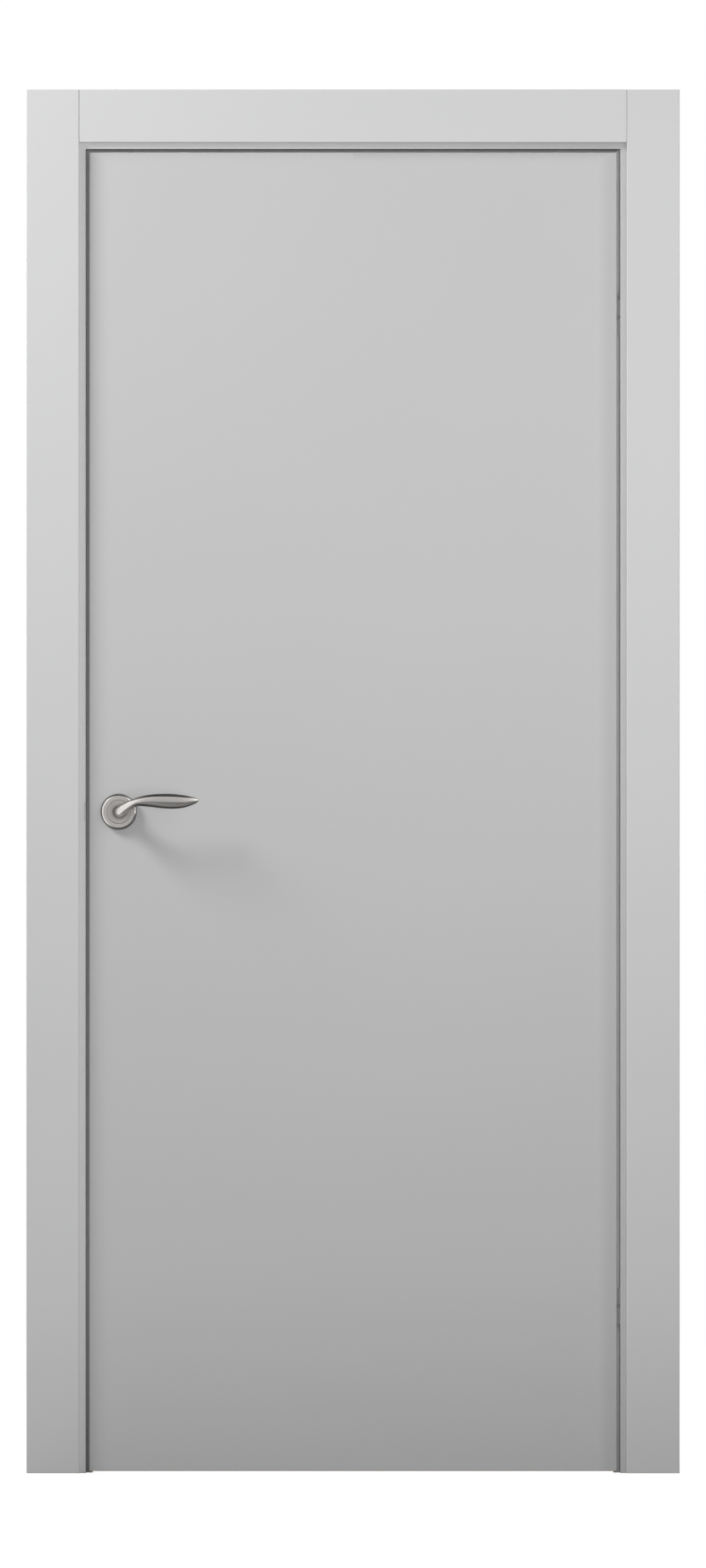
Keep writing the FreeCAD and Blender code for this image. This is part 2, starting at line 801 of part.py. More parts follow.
def rose(face_side):
    """The cap of the rose: a thin wall with a rounded rim, a turned line and a slightly dished middle."""
    top = ROSE_HEIGHT
    groove_out = ROSE_GROOVE_RADIUS + ROSE_GROOVE_HALF_WIDTH
    groove_in = ROSE_GROOVE_RADIUS - ROSE_GROOVE_HALF_WIDTH
    rim_run = ROSE_RADIUS - ROSE_FACE_RADIUS
    rim_rise = top - ROSE_RIM_HEIGHT
    rim_middle = (
        ROSE_FACE_RADIUS + rim_run * math.sin(math.radians(45)),
        ROSE_RIM_HEIGHT + rim_rise * math.cos(math.radians(45)),
    )
    inner_top = top - ROSE_DISH_DEPTH - ROSE_WALL
    corners = [
        (ROSE_FACE_RADIUS, top),
        (groove_out, top),
        (ROSE_GROOVE_RADIUS, top - ROSE_GROOVE_DEPTH),
        (groove_in, top),
        (rose_bore, top - ROSE_DISH_DEPTH),
        (rose_bore, inner_top),
        (ROSE_FACE_RADIUS - ROSE_WALL / 2, inner_top),
        (ROSE_RADIUS - ROSE_WALL, ROSE_RIM_HEIGHT),
        (ROSE_RADIUS - ROSE_WALL, 0),
        (ROSE_RADIUS, 0),
        (ROSE_RADIUS, ROSE_RIM_HEIGHT),
    ]
    rim = [((ROSE_RADIUS, ROSE_RIM_HEIGHT), rim_middle, (ROSE_FACE_RADIUS, top))]
    return turned(list(zip(corners[:-1], corners[1:])) + rim, face_side)


def rose_base(face_side):
    """The ring under the cap that is screwed to the leaf and guides the lever's neck."""
    outer = ROSE_FACE_RADIUS - ROSE_WALL / 2 - ROSE_BASE_CLEARANCE
    corners = [
        (rose_bore, 0),
        (outer, 0),
        (outer, ROSE_BASE_HEIGHT),
        (rose_bore, ROSE_BASE_HEIGHT),
        (rose_bore, 0),
    ]
    return turned(list(zip(corners[:-1], corners[1:])), face_side)


# The lever is lofted through sections square to its centre line. Each station says how far along the
# door, up and out from the leaf's face the middle is, the half height and half depth there, and how
# much of the flat facet along the upper edge is cut: 0 on the round neck, 1 on the grip.
LEVER_STATIONS = [
    (0.0, 0.0, ROSE_HEIGHT - NECK_ROSE_OVERLAP, NECK_RADIUS, NECK_RADIUS, 0.0),
    (0.0, 0.0, 10.0, NECK_RADIUS, NECK_RADIUS, 0.0),
    (0.0, 0.0, 17.0, NECK_RADIUS, NECK_RADIUS, 0.0),
    (0.3, -0.2, 24.0, 8.9, 8.7, 0.0),
    (1.9, 0.1, 31.5, 9.5, 9.0, 0.0),
    (5.9, 2.9, 39.0, 8.8, 8.3, 0.0),
    (11.8, 6.9, 45.0, 7.4, 7.0, 0.15),
    (19.0, 11.2, 49.2, 6.6, 6.3, 0.45),
    (27.5, 14.8, 51.3, 6.4, 6.0, 0.75),
    (37.0, 16.2, 52.2, 7.8, 5.8, 0.9),
    (50.0, 16.7, 52.6, 9.4, 5.6, 1.0),
    (64.0, 16.3, 52.8, 10.7, 5.4, 1.0),
    (78.0, 15.9, 52.6, 11.2, 5.1, 1.0),
    (91.0, 15.6, 52.0, 10.5, 4.6, 1.0),
    (102.0, 15.9, 51.1, 8.7, 4.0, 1.0),
    (111.0, 16.7, 50.1, 6.3, 3.3, 0.8),
    (116.5, 17.1, 49.4, 4.3, 2.5, 0.4),
    (119.5, 17.3, 49.0, 2.5, 1.7, 0.0),
    (120.7, 17.4, 48.85, 1.3, 1.0, 0.0),
    (121.1, 17.45, 48.8, 0.6, 0.5, 0.0),
]
FACET_FRONT_DEG = 38.0
FACET_BACK_DEG = 84.0
ROUND_POINTS = 11
FACET_POINTS = 4


def station_tangents(centres):
    """Unit directions of the centre line at each station, from its neighbours."""
    tangents = [(centres[1] - centres[0]).normalize()]
    for before, after in zip(centres[:-2], centres[2:]):
        tangents.append((after - before).normalize())
    tangents.append((centres[-1] - centres[-2]).normalize())
    return tangents


def lever_section(centre, up, side, half_height, half_depth, facet):
    """An ellipse whose upper front is cut towards a chord, as two edges that meet in two ridges."""

    def ring_point(degrees):
        angle = math.radians(degrees)
        return up * (half_height * math.sin(angle)) + side * (
            half_depth * math.cos(angle)
        )

    ridge_front = ring_point(FACET_FRONT_DEG)
    ridge_back = ring_point(FACET_BACK_DEG)
    round_step = (360 + FACET_FRONT_DEG - FACET_BACK_DEG) / (ROUND_POINTS - 1)
    round_points = [
        centre + ring_point(FACET_FRONT_DEG - k * round_step)
        for k in range(ROUND_POINTS)
    ]
    facet_points = []
    for k in range(FACET_POINTS):
        share = k / (FACET_POINTS - 1)
        on_ring = ring_point(
            FACET_BACK_DEG + share * (FACET_FRONT_DEG - FACET_BACK_DEG)
        )
        on_chord = ridge_back + (ridge_front - ridge_back) * share
        facet_points.append(centre + on_ring + (on_chord - on_ring) * facet)
    edges = []
    for points in (round_points, facet_points):
        curve = Part.BSplineCurve()
        curve.interpolate(
            Points=points, Parameters=[k / (len(points) - 1) for k in range(len(points))]
        )
        edges.append(curve.toShape())
    return Part.Wire(edges)


def lever(face_side):
    centres = [
        Vector(handle_x + along, face_y(face_side) + face_side * out, handle_z + up)
        for along, up, out, _, _, _ in LEVER_STATIONS
    ]
    sections = []
    for centre, tangent, station in zip(
        centres, station_tangents(centres), LEVER_STATIONS
    ):
        up = (Vector(0, 0, 1) - tangent * tangent.z).normalize()
        side = tangent.cross(up) * -face_side
        sections.append(lever_section(centre, up, side, *station[3:]))
    body = Part.makeLoft(sections, True, False)
    return body.cut(spindle_socket(face_side))


def spindle_reach(face_side):
    """How far from the middle of the leaf the spindle's end lies."""
    return face_y(face_side) + face_side * SPINDLE_ENGAGEMENT


def spindle_socket(face_side):
    half = SPINDLE_SIZE / 2 + SPINDLE_CLEARANCE / 2
    ends = sorted(
        (
            face_y(face_side),
            spindle_reach(face_side) + face_side * SPINDLE_CLEARANCE,
        )
    )
    return box(
        handle_x - half, handle_x + half, *ends, handle_z - half, handle_z + half
    )


def spindle():
    half = SPINDLE_SIZE / 2
    return box(
        handle_x - half,
        handle_x + half,
        spindle_reach(-1),
        spindle_reach(1),
        handle_z - half,
        handle_z + half,
    )


def build():
    """Every node of the door by name."""
    nodes = {}
    hinge_jamb = jamb_blank("hinge_side")
    latch_jamb = jamb_blank("latch_side").cut(strike_pocket())
    hinge_stile = box(
        stile_hinge_x,
        body_hinge_x,
        core_front_y,
        core_back_y,
        leaf_bottom_z,
        body_top_z,
    )
    hinge_band = edge_band("hinge_side")
    for level, z in hinge_heights.items():
        jamb_edge_x = hinge_wall_x - rebate_s
        pocket = hinge_pocket(1, jamb_edge_x, z, MORTISE_CLEARANCE)
        hinge_jamb = hinge_jamb.cut(pocket)
        leaf_room = hinge_pocket(-1, leaf_hinge_x, z, MORTISE_CLEARANCE)
        hinge_stile = hinge_stile.cut(leaf_room)
        hinge_band = hinge_band.cut(leaf_room)
        nodes[f"hinge_case_frame_{level}"] = hinge_case(1, jamb_edge_x, z)
        nodes[f"hinge_case_leaf_{level}"] = hinge_case(-1, leaf_hinge_x, z)
        nodes[f"hinge_arms_{level}"] = hinge_arms(z)
    nodes["jamb_hinge_side"] = hinge_jamb
    nodes["jamb_latch_side"] = latch_jamb
    nodes["jamb_head"] = jamb_blank("head")

    for run in ("hinge_side", "latch_side", "head"):
        nodes[f"seal_{run}"] = seal(run)
    for face_name, face_side in (("front", -1), ("back", 1)):
        for run in ("hinge_side", "latch_side"):
            nodes[f"casing_{face_name}_{run}"] = side_casing(run, face_side)
        nodes[f"casing_{face_name}_head"] = head_casing(face_side)

    latch_room = latch_pocket()
    latch_stile = latch_edged(
        stile_latch_x, core_front_y, core_back_y, leaf_bottom_z, body_top_z
    )
    nodes["leaf_stile_latch_side"] = latch_stile.cut(latch_room)
    nodes["leaf_stile_hinge_side"] = hinge_stile
    nodes["leaf_rail_bottom"] = box(
        stile_latch_x,
        stile_hinge_x,
        core_front_y,
        core_back_y,
        leaf_bottom_z,
        rail_bottom_z,
    )
    nodes["leaf_rail_top"] = box(
        stile_latch_x,
        stile_hinge_x,
        core_front_y,
        core_back_y,
        rail_top_z,
        body_top_z,
    )
    lock_block = box(
        stile_latch_x,
        lock_block_x,
        core_front_y,
        core_back_y,
        handle_z - LOCK_BLOCK_HEIGHT / 2,
        handle_z + LOCK_BLOCK_HEIGHT / 2,
    )
    nodes["leaf_lock_block"] = lock_block.cut(latch_room)
    nodes["leaf_core"] = leaf_core()
    nodes["leaf_skin_front"] = leaf_skin(leaf_front_y, core_front_y)
    nodes["leaf_skin_back"] = leaf_skin(core_back_y, leaf_back_y)
    nodes["leaf_edge_band_hinge_side"] = hinge_band
    nodes["leaf_edge_band_latch_side"] = edge_band("latch_side").cut(latch_room)
    nodes["leaf_edge_band_top"] = edge_band("top")

    nodes["latch_face_plate"] = latch_face_plate()
    nodes["latch_barrel"] = latch_barrel()
    nodes["latch_bolt"] = latch_bolt()
    nodes["strike_plate"] = strike_plate()
    nodes["strike_box"] = strike_box()

    for face_name, face_side in (("front", -1), ("back", 1)):
        nodes[f"rose_{face_name}"] = rose(face_side)
        nodes[f"rose_base_{face_name}"] = rose_base(face_side)
        nodes[f"lever_{face_name}"] = lever(face_side)
    nodes["spindle"] = spindle()
    return nodes


def main():
    os.makedirs("parts", exist_ok=True)
    for name, shape in build().items():
        solids = shape.Solids
        for solid in solids:
            if not solid.isValid() or solid.Volume <= 0:
                print("check this solid:", name, solid.isValid(), solid.Volume)
        whole = solids[0] if len(solids) == 1 else Part.makeCompound(solids)
        whole.exportStep(f"parts/{name}.step")
        size = whole.BoundBox
        print(
            f"{name}: {len(solids)} solid, {len(whole.Faces)} faces, "
            f"{size.XLength:.1f} x {size.YLength:.1f} x {size.ZLength:.1f}, "
            f"{whole.Volume / 1e6:.3f} l"
        )


main()
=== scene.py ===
"""Flush hollow core door in its frame: finishes, screws, studio and camera, in metres."""

import math

import bmesh
import bpy
import numpy as np
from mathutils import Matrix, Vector


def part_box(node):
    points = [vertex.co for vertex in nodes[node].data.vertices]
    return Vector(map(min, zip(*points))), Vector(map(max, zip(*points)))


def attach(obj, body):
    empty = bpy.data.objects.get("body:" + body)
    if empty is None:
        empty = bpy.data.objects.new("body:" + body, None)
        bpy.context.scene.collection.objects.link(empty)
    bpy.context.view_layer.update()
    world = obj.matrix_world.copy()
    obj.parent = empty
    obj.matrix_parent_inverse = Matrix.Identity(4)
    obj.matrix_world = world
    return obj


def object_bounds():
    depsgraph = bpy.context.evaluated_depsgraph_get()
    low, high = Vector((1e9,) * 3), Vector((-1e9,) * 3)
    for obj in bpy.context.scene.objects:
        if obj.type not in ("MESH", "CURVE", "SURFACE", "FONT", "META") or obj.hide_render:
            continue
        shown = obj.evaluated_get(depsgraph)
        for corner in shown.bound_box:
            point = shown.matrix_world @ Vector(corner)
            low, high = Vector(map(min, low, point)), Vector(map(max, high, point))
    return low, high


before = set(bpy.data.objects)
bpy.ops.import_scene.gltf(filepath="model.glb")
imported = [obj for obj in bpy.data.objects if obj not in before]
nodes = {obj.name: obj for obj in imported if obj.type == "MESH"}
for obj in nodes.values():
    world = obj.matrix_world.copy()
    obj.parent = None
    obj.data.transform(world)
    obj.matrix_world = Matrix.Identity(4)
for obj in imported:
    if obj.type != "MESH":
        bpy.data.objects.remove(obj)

cad_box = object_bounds()

# Camera
# A long lens far in front of the door, level with its middle and square to it, so that upright and
# level edges stay straight and the frame's reveal shows evenly all round.

image_height = 2000
pixels_per_metre = 841.3
camera_distance = 40.0
sensor_size = 36.0
box_low, box_high = cad_box
seen_plane_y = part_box("casing_front_head")[0].y
view_centre = Vector(((box_low.x + box_high.x) / 2, seen_plane_y, 1.0451))

camera_data = bpy.data.cameras.new("camera")
camera_data.sensor_width = sensor_size
camera_data.lens = sensor_size * camera_distance / (image_height / pixels_per_metre)
camera_data.clip_end = 3 * camera_distance
camera = bpy.data.objects.new("camera", camera_data)
camera.location = view_centre + Vector((0, -camera_distance, 0))
camera.rotation_euler = (math.radians(90), 0, 0)
bpy.context.scene.collection.objects.link(camera)
bpy.context.scene.camera = camera
bpy.context.scene.view_settings.view_transform = "Standard"

# Lamps
# Soft lamps on stands: the key high on the left and close to the wall plane, which drags the handle's
# shadow down to the right, a tall narrow one in front of the gap on the hinge side, and wide ones on the
# right and behind. Weak even lights along the view, from the hinge side and from the back fill in.


def add_soft_lamp(name, place, aim, width, height, watts, in_reflections=False):
    """An oblong lamp at place that faces the point aim; metal shows it only with in_reflections."""
    lamp_data = bpy.data.lights.new(name, "AREA")
    lamp_data.shape = "RECTANGLE"
    lamp_data.size = width
    lamp_data.size_y = height
    lamp_data.energy = watts
    lamp = bpy.data.objects.new(name, lamp_data)
    lamp.location = place
    lamp.rotation_euler = (Vector(aim) - Vector(place)).to_track_quat("-Z", "Y").to_euler()
    lamp.visible_glossy = in_reflections
    bpy.context.scene.collection.objects.link(lamp)


add_soft_lamp("key_lamp", (-3.05, -1.12, 3.17), (-0.37, 0, 1.4), width=1.0, height=1.0, watts=96)
add_soft_lamp("front_lamp", (-0.03, -2.06, 0.87), (-0.01, 0, 2.15), width=0.12, height=0.8, watts=7.9)
add_soft_lamp("right_lamp", (0.6, -1.66, 1.91), (-0.4, 0, 1.4), width=1.6, height=1.6, watts=12)
add_soft_lamp(
    "back_lamp", (-2.6, 2.6, 3.4), (-0.4, 0, 1.3), width=1.6, height=1.6, watts=120, in_reflections=True
)

even_light_spread = math.radians(4)


def add_even_light(name, towards, strength):
    """A weak sun that shines towards a direction and isn't seen in metal."""
    light_data = bpy.data.lights.new(name, "SUN")
    light_data.energy = strength
    light_data.angle = even_light_spread
    light = bpy.data.objects.new(name, light_data)
    light.rotation_euler = Vector(towards).to_track_quat("-Z", "Y").to_euler()
    light.visible_glossy = False
    bpy.context.scene.collection.objects.link(light)


add_even_light("view_light", (0, 1, 0), strength=0.44)
add_even_light("hinge_side_light", (-1, 0, -0.2), strength=0.4)
add_even_light("back_light", (-0.9, -1, -0.2), strength=0.8)

# Surroundings
# A white studio. The camera sees it as plain white, and metal reflects it as white walls round the
# horizon, brighter at both sides, with a dim ceiling and a grey floor that is lit on the left, which is
# what gives polished pieces their dark and light bands.


def wire(tree, source, target):
    """Links a socket, or sets a number or colour, on a socket."""
    if isinstance(source, bpy.types.NodeSocket):
        tree.links.new(source, target)
    else:
        target.default_value = source


def sums(tree, operation, *values):
    """One Math node on sockets or numbers; gives its output socket."""
    node = tree.nodes.new("ShaderNodeMath")
    node.operation = operation
    for value, socket in zip(values, node.inputs):
        wire(tree, value, socket)
    return node.outputs[0]


def ramped(tree, value, stops):
    """A colour ramp through (place, grey level or colour) stops."""
    node = tree.nodes.new("ShaderNodeValToRGB")
    elements = node.color_ramp.elements
    while len(elements) < len(stops):
        elements.new(0.5)
    for element, (place, level) in zip(elements, stops):
        element.position = place
        element.color = (*level, 1) if isinstance(level, tuple) else (level, level, level, 1)
    wire(tree, value, node.inputs["Fac"])
    return node.outputs["Color"]


def scaled_colour(tree, colour, factor):
    """A colour made lighter or darker by a factor."""
    node = tree.nodes.new("ShaderNodeVectorMath")
    node.operation = "SCALE"
    wire(tree, colour, node.inputs[0])
    wire(tree, factor, node.inputs["Scale"])
    return node.outputs[0]


def step(tree, value, start, end):
    """Rises smoothly from 0 at start to 1 at end."""
    node = tree.nodes.new("ShaderNodeMapRange")
    node.interpolation_type = "SMOOTHSTEP"
    wire(tree, value, node.inputs["Value"])
    node.inputs["From Min"].default_value = start
    node.inputs["From Max"].default_value = end
    return node.outputs["Result"]


def ranged(tree, share, low, high):
    """Goes from low to high as share goes from 0 to 1."""
    return sums(tree, "MULTIPLY_ADD", share, high - low, low)


# How bright metal sees the walls, from straight down at 0 to straight up at 1, and what the two side
# walls add to it as a share
wall_levels = [
    (0.0, 0.1),
    (0.3, 0.25),
    (0.46, 0.56),
    (0.5, 0.64),
    (0.77, 0.68),
    (0.84, 0.95),
    (0.9, 0.2),
    (1.0, 0.06),
]
left_wall_extra, right_wall_extra = 1.0, 1.4

studio = bpy.data.worlds.new("studio")
bpy.context.scene.world = studio
studio.use_nodes = True
tree = studio.node_tree
tree.nodes.clear()
shades = {}
for use, strength in (("lighting", 0.10), ("reflected", 1.0), ("seen", 1.0)):
    shades[use] = tree.nodes.new("ShaderNodeBackground")
    shades[use].inputs["Color"].default_value = (1, 1, 1, 1)
    shades[use].inputs["Strength"].default_value = strength
towards = tree.nodes.new("ShaderNodeTexCoord").outputs["Generated"]
split = tree.nodes.new("ShaderNodeSeparateXYZ")
wire(tree, towards, split.inputs[0])
height_share = sums(tree, "MULTIPLY_ADD", split.outputs["Z"], 0.5, 0.5)
left_wall = step(tree, split.outputs["X"], 0.0, -0.45)
right_wall = step(tree, split.outputs["X"], 0.2, 0.7)
left_gain = sums(tree, "MULTIPLY_ADD", left_wall, left_wall_extra, 1.0)
wall_gain = sums(tree, "MULTIPLY_ADD", right_wall, right_wall_extra, left_gain)
wall_colour = scaled_colour(tree, ramped(tree, height_share, wall_levels), wall_gain)
wire(tree, wall_colour, shades["reflected"].inputs["Color"])
path = tree.nodes.new("ShaderNodeLightPath")
seen_straight = sums(tree, "MAXIMUM", path.outputs["Is Camera Ray"], path.outputs["Is Transmission Ray"])
glossy_mix = tree.nodes.new("ShaderNodeMixShader")
straight_mix = tree.nodes.new("ShaderNodeMixShader")
world_out = tree.nodes.new("ShaderNodeOutputWorld")
wire(tree, path.outputs["Is Glossy Ray"], glossy_mix.inputs["Fac"])
wire(tree, shades["lighting"].outputs[0], glossy_mix.inputs[1])
wire(tree, shades["reflected"].outputs[0], glossy_mix.inputs[2])
wire(tree, seen_straight, straight_mix.inputs["Fac"])
wire(tree, glossy_mix.outputs[0], straight_mix.inputs[1])
wire(tree, shades["seen"].outputs[0], straight_mix.inputs[2])
wire(tree, straight_mix.outputs[0], world_out.inputs["Surface"])

# The floor's half width, its grey, how white the camera sees it beside the door and far off, and how
# bright metal sees it to the left of the door and far in front of it or behind
floor_half = 9.0
floor_grey = 0.28
floor_white_near, floor_white_far = 0.9, 1.0
floor_lit_left, floor_lit_far = 1.0, 0.12

floor_mesh = bpy.data.meshes.new("studio_floor")
floor_corners = ((-1, -1), (1, -1), (1, 1), (-1, 1))
floor_mesh.from_pydata([(x * floor_half, y * floor_half, 0) for x, y in floor_corners], [], [(0, 1, 2, 3)])
studio_floor = bpy.data.objects.new("studio_floor", floor_mesh)
bpy.context.scene.collection.objects.link(studio_floor)
floor_paint = bpy.data.materials.new("studio_floor")
floor_paint.use_nodes = True
tree = floor_paint.node_tree
tree.nodes.clear()
floor_matt = tree.nodes.new("ShaderNodeBsdfDiffuse")
floor_matt.inputs["Color"].default_value = (floor_grey, floor_grey, floor_grey, 1)
floor_white = tree.nodes.new("ShaderNodeEmission")
floor_white.inputs["Color"].default_value = (1, 1, 1, 1)
path = tree.nodes.new("ShaderNodeLightPath")
seen_straight = sums(tree, "MAXIMUM", path.outputs["Is Camera Ray"], path.outputs["Is Transmission Ray"])
floor_point = tree.nodes.new("ShaderNodeTexCoord").outputs["Object"]
floor_place = tree.nodes.new("ShaderNodeSeparateXYZ")
wire(tree, floor_point, floor_place.inputs[0])
away_from_door = step(tree, sums(tree, "ABSOLUTE", floor_place.outputs["Y"]), 0.5, 2.4)
left_of_door = step(tree, floor_place.outputs["X"], -1.0, -1.8)
lit_far = sums(tree, "MULTIPLY", away_from_door, floor_lit_far)
lit_floor = sums(tree, "MULTIPLY_ADD", left_of_door, floor_lit_left, lit_far)
glossy_share = sums(tree, "MULTIPLY", path.outputs["Is Glossy Ray"], lit_floor)
floor_reach = tree.nodes.new("ShaderNodeVectorMath")
floor_reach.operation = "LENGTH"
wire(tree, floor_point, floor_reach.inputs[0])
far_off = step(tree, floor_reach.outputs["Value"], 1.5, 4.0)
whiteness = ranged(tree, far_off, floor_white_near, floor_white_far)
seen_white = sums(tree, "MULTIPLY", seen_straight, whiteness)
wire(tree, sums(tree, "ADD", seen_white, glossy_share), floor_white.inputs["Strength"])
floor_both = tree.nodes.new("ShaderNodeAddShader")
floor_out = tree.nodes.new("ShaderNodeOutputMaterial")
wire(tree, floor_matt.outputs[0], floor_both.inputs[0])
wire(tree, floor_white.outputs[0], floor_both.inputs[1])
wire(tree, floor_both.outputs[0], floor_out.inputs["Surface"])
floor_mesh.materials.append(floor_paint)

# Jambs and casings
# Boards of medium-density fibreboard, sprayed with satin white lacquer on every side that shows. The
# faces towards the wall and the feet stay bare, with a mist of lacquer along their edges.

casing_white = (0.678, 0.68, 0.68)
# The jambs are drawn a shade greyer than the casings, as painted shade in the reveals
jamb_white = (0.66, 0.66, 0.66)
bare_board = ((0.36, 0.25, 0.15), (0.50, 0.37, 0.24))
bare_skin_depth = 0.0006
wall_half_depth = 0.05
mist_reach = 0.004
lacquer_dullness, bare_dullness, dust_dulling = 0.36, 0.85, 0.3
nibs_per_metre, nib_reach = 34, (0.004, 0.013)
film_relief = 0.00004
middle_x = (box_low.x + box_high.x) / 2


def new_group(name, takes, gives):
    """An empty shader node group with named sockets, and the nodes of its two ends."""
    group = bpy.data.node_groups.new(name, "ShaderNodeTree")
    for in_out, sockets in (("INPUT", takes), ("OUTPUT", gives)):
        for socket, kind in sockets:
            group.interface.new_socket(name=socket, in_out=in_out, socket_type=kind)
    return group, group.nodes.new("NodeGroupInput"), group.nodes.new("NodeGroupOutput")


def noise(tree, vector, scale, detail):
    """A noise texture's value, about 0.5 in the mean."""
    node = tree.nodes.new("ShaderNodeTexNoise")
    wire(tree, vector, node.inputs["Vector"])
    node.inputs["Scale"].default_value = scale
    node.inputs["Detail"].default_value = detail
    return node.outputs["Fac"]


def stretched(tree, vector, scale):
    """The vector with each part multiplied by its own factor."""
    node = tree.nodes.new("ShaderNodeVectorMath")
    node.operation = "MULTIPLY"
    wire(tree, vector, node.inputs[0])
    node.inputs[1].default_value = scale
    return node.outputs[0]


def mixed(tree, share, first, second, kind="RGBA"):
    """Goes from the first colour or number to the second as share goes from 0 to 1."""
    node = tree.nodes.new("ShaderNodeMix")
    node.data_type = kind
    word = "Color" if kind == "RGBA" else "Float"
    wire(tree, share, node.inputs["Factor"])
    for value, identifier in ((first, "A_" + word), (second, "B_" + word)):
        socket = next(s for s in node.inputs if s.identifier == identifier)
        wire(tree, (*value, 1) if isinstance(value, tuple) else value, socket)
    return next(s for s in node.outputs if s.identifier == "Result_" + word)


def placed(tree, group, **inputs):
    """A group in a material's tree, with its inputs set; gives its outputs by name."""
    node = tree.nodes.new("ShaderNodeGroup")
    node.node_tree = group
    for socket, value in inputs.items():
        wire(tree, value, node.inputs[socket])
    return node.outputs


def object_place(tree):
    """Object coordinates: the vector, its x, y and z, and the surface's normal."""
    coordinate = tree.nodes.new("ShaderNodeTexCoord")
    parts = tree.nodes.new("ShaderNodeSeparateXYZ")
    wire(tree, coordinate.outputs["Object"], parts.inputs[0])
    return coordinate.outputs["Object"], *parts.outputs, coordinate.outputs["Normal"]


def facing_up(tree, normal):
    """The normal's z: 1 on what faces up, -1 on what faces down."""
    parts = tree.nodes.new("ShaderNodeSeparateXYZ")
    wire(tree, normal, parts.inputs[0])
    return parts.outputs["Z"]


def new_finish(name, **settings):
    """A material with one Principled BSDF; settings are its constants by socket name."""
    finish = bpy.data.materials.new(name)
    finish.use_nodes = True
    tree = finish.node_tree
    tree.nodes.clear()
    surface = tree.nodes.new("ShaderNodeBsdfPrincipled")
    out = tree.nodes.new("ShaderNodeOutputMaterial")
    wire(tree, surface.outputs[0], out.inputs["Surface"])
    for socket, value in settings.items():
        surface.inputs[socket.replace("_", " ")].default_value = value
    return finish, tree, surface


def bumped(tree, surface, height, distance):
    """Relief of a height from 0 to 1 times distance."""
    bump = tree.nodes.new("ShaderNodeBump")
    bump.inputs["Distance"].default_value = distance
    wire(tree, height, bump.inputs["Height"])
    wire(tree, bump.outputs[0], surface.inputs["Normal"])


def dress(finish, *names):
    """Gives CAD nodes a finish in place of their plain one."""
    for name in names:
        nodes[name].data.materials.clear()
        nodes[name].data.materials.append(finish)


def nodes_named(*starts):
    """The CAD nodes whose names start with one of the given words."""
    return [name for name in nodes if name.startswith(starts)]


# Sprayed lacquer: the film's slow change of tone, an orange peel about 2 mm across with a few dust
# nibs, and gloss that is a little patchy
lacquer, takes, gives = new_group(
    "sprayed_lacquer",
    [("Vector", "NodeSocketVector"), ("Tone", "NodeSocketColor"), ("Dullness", "NodeSocketFloat")],
    [("Colour", "NodeSocketColor"), ("Roughness", "NodeSocketFloat"), ("Height", "NodeSocketFloat")],
)
place = takes.outputs["Vector"]
slow = noise(lacquer, place, scale=2.3, detail=3)
slow_change = ranged(lacquer, slow, 0.985, 1.015)
wire(lacquer, scaled_colour(lacquer, takes.outputs["Tone"], slow_change), gives.inputs["Colour"])
patchy = noise(lacquer, place, scale=11, detail=4)
patchy_dullness = sums(lacquer, "MULTIPLY_ADD", patchy, 0.12, takes.outputs["Dullness"])
wire(lacquer, patchy_dullness, gives.inputs["Roughness"])
peel = noise(lacquer, place, scale=460, detail=1)
nib_cells = lacquer.nodes.new("ShaderNodeTexVoronoi")
nib_cells.inputs["Scale"].default_value = nibs_per_metre
wire(lacquer, place, nib_cells.inputs["Vector"])
nib = step(lacquer, nib_cells.outputs["Distance"], *reversed(nib_reach))
film_height = sums(lacquer, "MULTIPLY_ADD", nib, 0.5, sums(lacquer, "MULTIPLY", peel, 0.5))
wire(lacquer, film_height, gives.inputs["Height"])

# Bare fibreboard: pressed fibres in two browns
fibreboard, takes, gives = new_group(
    "bare_fibreboard",
    [("Vector", "NodeSocketVector")],
    [("Colour", "NodeSocketColor"), ("Height", "NodeSocketFloat")],
)
place = takes.outputs["Vector"]
fibres = noise(fibreboard, place, scale=1500, detail=3)
clouds = noise(fibreboard, place, scale=25, detail=3)
tone_share = sums(fibreboard, "MULTIPLY_ADD", clouds, 0.5, sums(fibreboard, "MULTIPLY", fibres, 0.5))
board_brown = ramped(fibreboard, tone_share, [(0.3, bare_board[0]), (0.7, bare_board[1])])
wire(fibreboard, board_brown, gives.inputs["Colour"])
wire(fibreboard, fibres, gives.inputs["Height"])

# Settled dust: a thin grey film on what faces up, thicker in some places
dust_grey, dust_cover = (0.42, 0.40, 0.37), (0.1, 0.6)
dusting, takes, gives = new_group(
    "settled_dust",
    [("Vector", "NodeSocketVector"), ("Normal", "NodeSocketVector"), ("Colour", "NodeSocketColor")],
    [("Colour", "NodeSocketColor"), ("Cover", "NodeSocketFloat")],
)
level_share = step(dusting, facing_up(dusting, takes.outputs["Normal"]), 0.6, 0.98)
dust_patches = noise(dusting, takes.outputs["Vector"], scale=60, detail=5)
uneven = ranged(dusting, dust_patches, *dust_cover)
cover = sums(dusting, "MULTIPLY", level_share, uneven)
wire(dusting, mixed(dusting, cover, takes.outputs["Colour"], dust_grey), gives.inputs["Colour"])
wire(dusting, cover, gives.inputs["Cover"])


